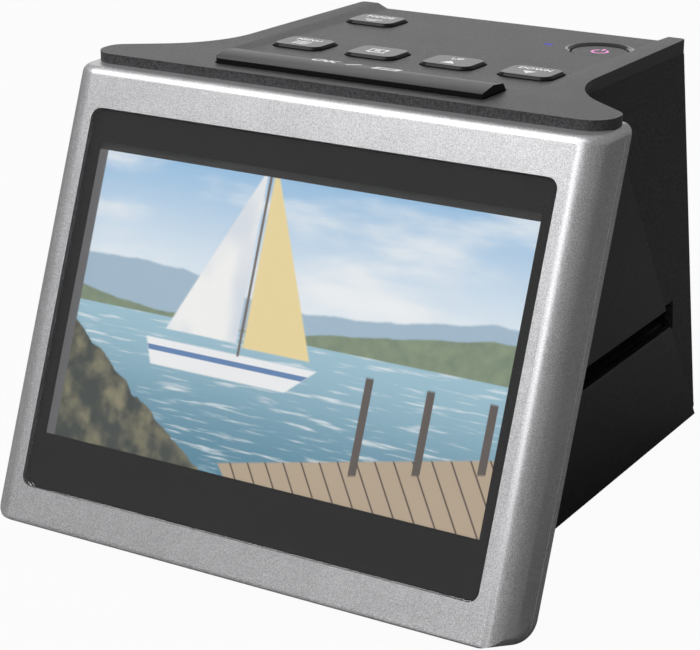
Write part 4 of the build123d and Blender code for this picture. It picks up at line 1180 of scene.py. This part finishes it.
@dataclass
class InnerWorks(SubAssembly):
    """The film path, backlight, camera tower, boards and sockets."""

    def dress(self) -> None:
        """Gives the inner pieces their finishes."""
        black = GrainedPlastic("guide_moulding", (0.014, 0.014, 0.014), 0.7).material()
        green = BoardLacquer("board_green").material()
        pale = BoardLacquer("board_pale", (0.55, 0.55, 0.53)).material()
        shell = Metal("socket_shell", (0.70, 0.70, 0.70), 0.2).material()
        chips = GrainedPlastic("chip_moulding", (0.02, 0.02, 0.02), 0.3).material()
        sensor = SmoothPlastic("sensor_window", (0.03, 0.03, 0.06), 0.05, 0.8).material()
        finishes = {
            **dict.fromkeys(("film_guide_lower", "film_guide_upper", "optics_tower"), black),
            "lens_barrel": Metal("barrel_anodised", (0.04, 0.04, 0.04), 0.35).material(),
            "light_box": GrainedPlastic("box_white", (0.78, 0.78, 0.76), 0.8).material(),
            "light_diffuser": SmoothPlastic("diffuser_frost", (0.84, 0.84, 0.82), 0.5).material(),
            "backlight_leds": SmoothPlastic("emitter_amber", (0.80, 0.66, 0.20), 0.4).material(),
            "backlight_board": pale,
            **dict.fromkeys(("main_board", "key_board", "sensor_board", "interface_board"), green),
            **dict.fromkeys(("main_board_chips", "key_switches"), chips),
            "image_sensor": sensor,
            **dict.fromkeys(("card_socket", "video_socket", "usb_socket"), shell),
        }
        self.paint(finishes)


# ---------------------------------------------------------------- studio
@dataclass(frozen=True)
class Lamp:
    """A soft rectangular lamp.

    Args:
        name: The lamp's name.
        place: Where it stands, in metres.
        size: Width and height in metres.
        power: Power in watts.
        aim: The point that it faces, in metres.
    """

    name: str
    place: Point3
    size: Point2
    power: float
    aim: Point3 = (0.0, 0.0, 0.06)

    def add(self) -> None:
        """Adds the lamp to the scene."""
        lamp = bpy.data.lights.new(self.name, "AREA")
        lamp.shape = "RECTANGLE"
        lamp.size, lamp.size_y = self.size
        lamp.energy = self.power
        obj = bpy.data.objects.new(self.name, lamp)
        obj.location = self.place
        away = Vector(self.aim) - Vector(self.place)
        obj.rotation_euler = away.to_track_quat("-Z", "Y").to_euler()
        bpy.context.scene.collection.objects.link(obj)


@dataclass
class Studio:
    """Pale floor, soft light and the camera at the photograph's angle."""

    camera_place: Point3 = (0.23552, -0.41176, 0.2110)
    azimuth: float = 31.03
    elevation: float = 19.69
    roll: float = -0.09
    lens: float = 112.8
    sensor: float = 36.0
    world_level: float = 0.24
    reflected_level: float = 0.48
    floor_lift: float = 0.96
    floor_radius: float = 6.0
    near_limit: float = 0.01

    def build(self) -> None:
        """Adds the camera, floor, world and lamps."""
        self._camera()
        self._floor()
        self._world()
        Lamp("overhead", (-0.35, -0.42, 1.15), (1.2, 0.8), 9.5).add()
        Lamp("front_left", (-0.55, -0.80, 0.95), (0.5, 0.5), 5.0).add()
        Lamp("back_left", (-0.97, 1.60, 0.75), (1.4, 0.9), 3.5).add()
        Lamp("front_strip", (0.02, -1.25, 0.46), (0.28, 0.8), 4.5).add()
        bpy.context.scene.view_settings.view_transform = "Standard"

    def _camera(self) -> None:
        """Adds the camera."""
        camera = bpy.data.cameras.new("camera")
        camera.lens = self.lens
        camera.sensor_width = self.sensor
        camera.clip_start = self.near_limit
        obj = bpy.data.objects.new("camera", camera)
        a, e, r = (math.radians(v) for v in (self.azimuth, self.elevation, self.roll))
        ahead = Vector((-math.sin(a) * math.cos(e), math.cos(a) * math.cos(e), -math.sin(e)))
        right = Vector((math.cos(a), math.sin(a), 0.0))
        up = right.cross(ahead)
        turned = right * math.cos(r) + up * math.sin(r)
        risen = turned.cross(ahead)
        turn = Matrix((turned, risen, -ahead)).transposed().to_4x4()
        obj.matrix_world = Matrix.Translation(self.camera_place) @ turn
        bpy.context.scene.collection.objects.link(obj)
        bpy.context.scene.camera = obj

    def _floor(self) -> None:
        """Adds the pale floor, which stays light but keeps the scanner's shadow."""
        sheet = Sheet("floor_pale")
        cloud = sheet.noise(80.0, 3.0)
        tone = sheet.mix((0.26, 0.26, 0.26), (0.28, 0.28, 0.28), cloud)
        lit = sheet.node("ShaderNodeBsdfDiffuse", {}, {"Color": tone})
        white = {"Color": (1.0, 1.0, 1.0, 1.0), "Strength": 1.0}
        glow = sheet.node("ShaderNodeEmission", {}, white)
        seen = sheet.read("ShaderNodeLightPath", {}, {}, "Is Camera Ray")
        shaders = {0: seen * self.floor_lift, 1: lit.outputs[0], 2: glow.outputs[0]}
        sheet.end(sheet.node("ShaderNodeMixShader", {}, shaders))
        mesh = bpy.data.meshes.new("floor")
        with editing(mesh) as shape:
            bmesh.ops.create_circle(shape, cap_ends=True, radius=self.floor_radius, segments=96)
        mesh.materials.append(sheet.owner)
        mesh_object("floor", mesh)

    def _world(self) -> None:
        """Sets a plain world that is white to the camera and pale to gloss and glass."""
        sheet = Sheet("studio", "worlds")
        path = sheet.node("ShaderNodeLightPath", {}, {}).outputs
        through = Field(sheet, path["Is Transmission Ray"])
        shiny = Field(sheet, path["Is Glossy Ray"]).largest(through) * self.reflected_level
        shown = Field(sheet, path["Is Camera Ray"]).largest(shiny)
        level = shown.largest(self.world_level)
        back = sheet.node("ShaderNodeBackground", {}, {"Strength": level})
        sheet.end(back, "ShaderNodeOutputWorld")
        bpy.context.scene.world = sheet.owner


def main() -> None:
    """Dresses the scanner, logs each group's pieces and sets the studio."""
    logging.basicConfig(level=logging.INFO, format="%(message)s")
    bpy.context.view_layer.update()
    groups = (DisplayUnit(), Housing(), KeyField(), BarSign(), Fasteners(), InnerWorks())
    for group in groups:
        group.build()
        group.dress()
        group.report()
    Studio().build()
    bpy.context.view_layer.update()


if __name__ == "__main__":
    main()
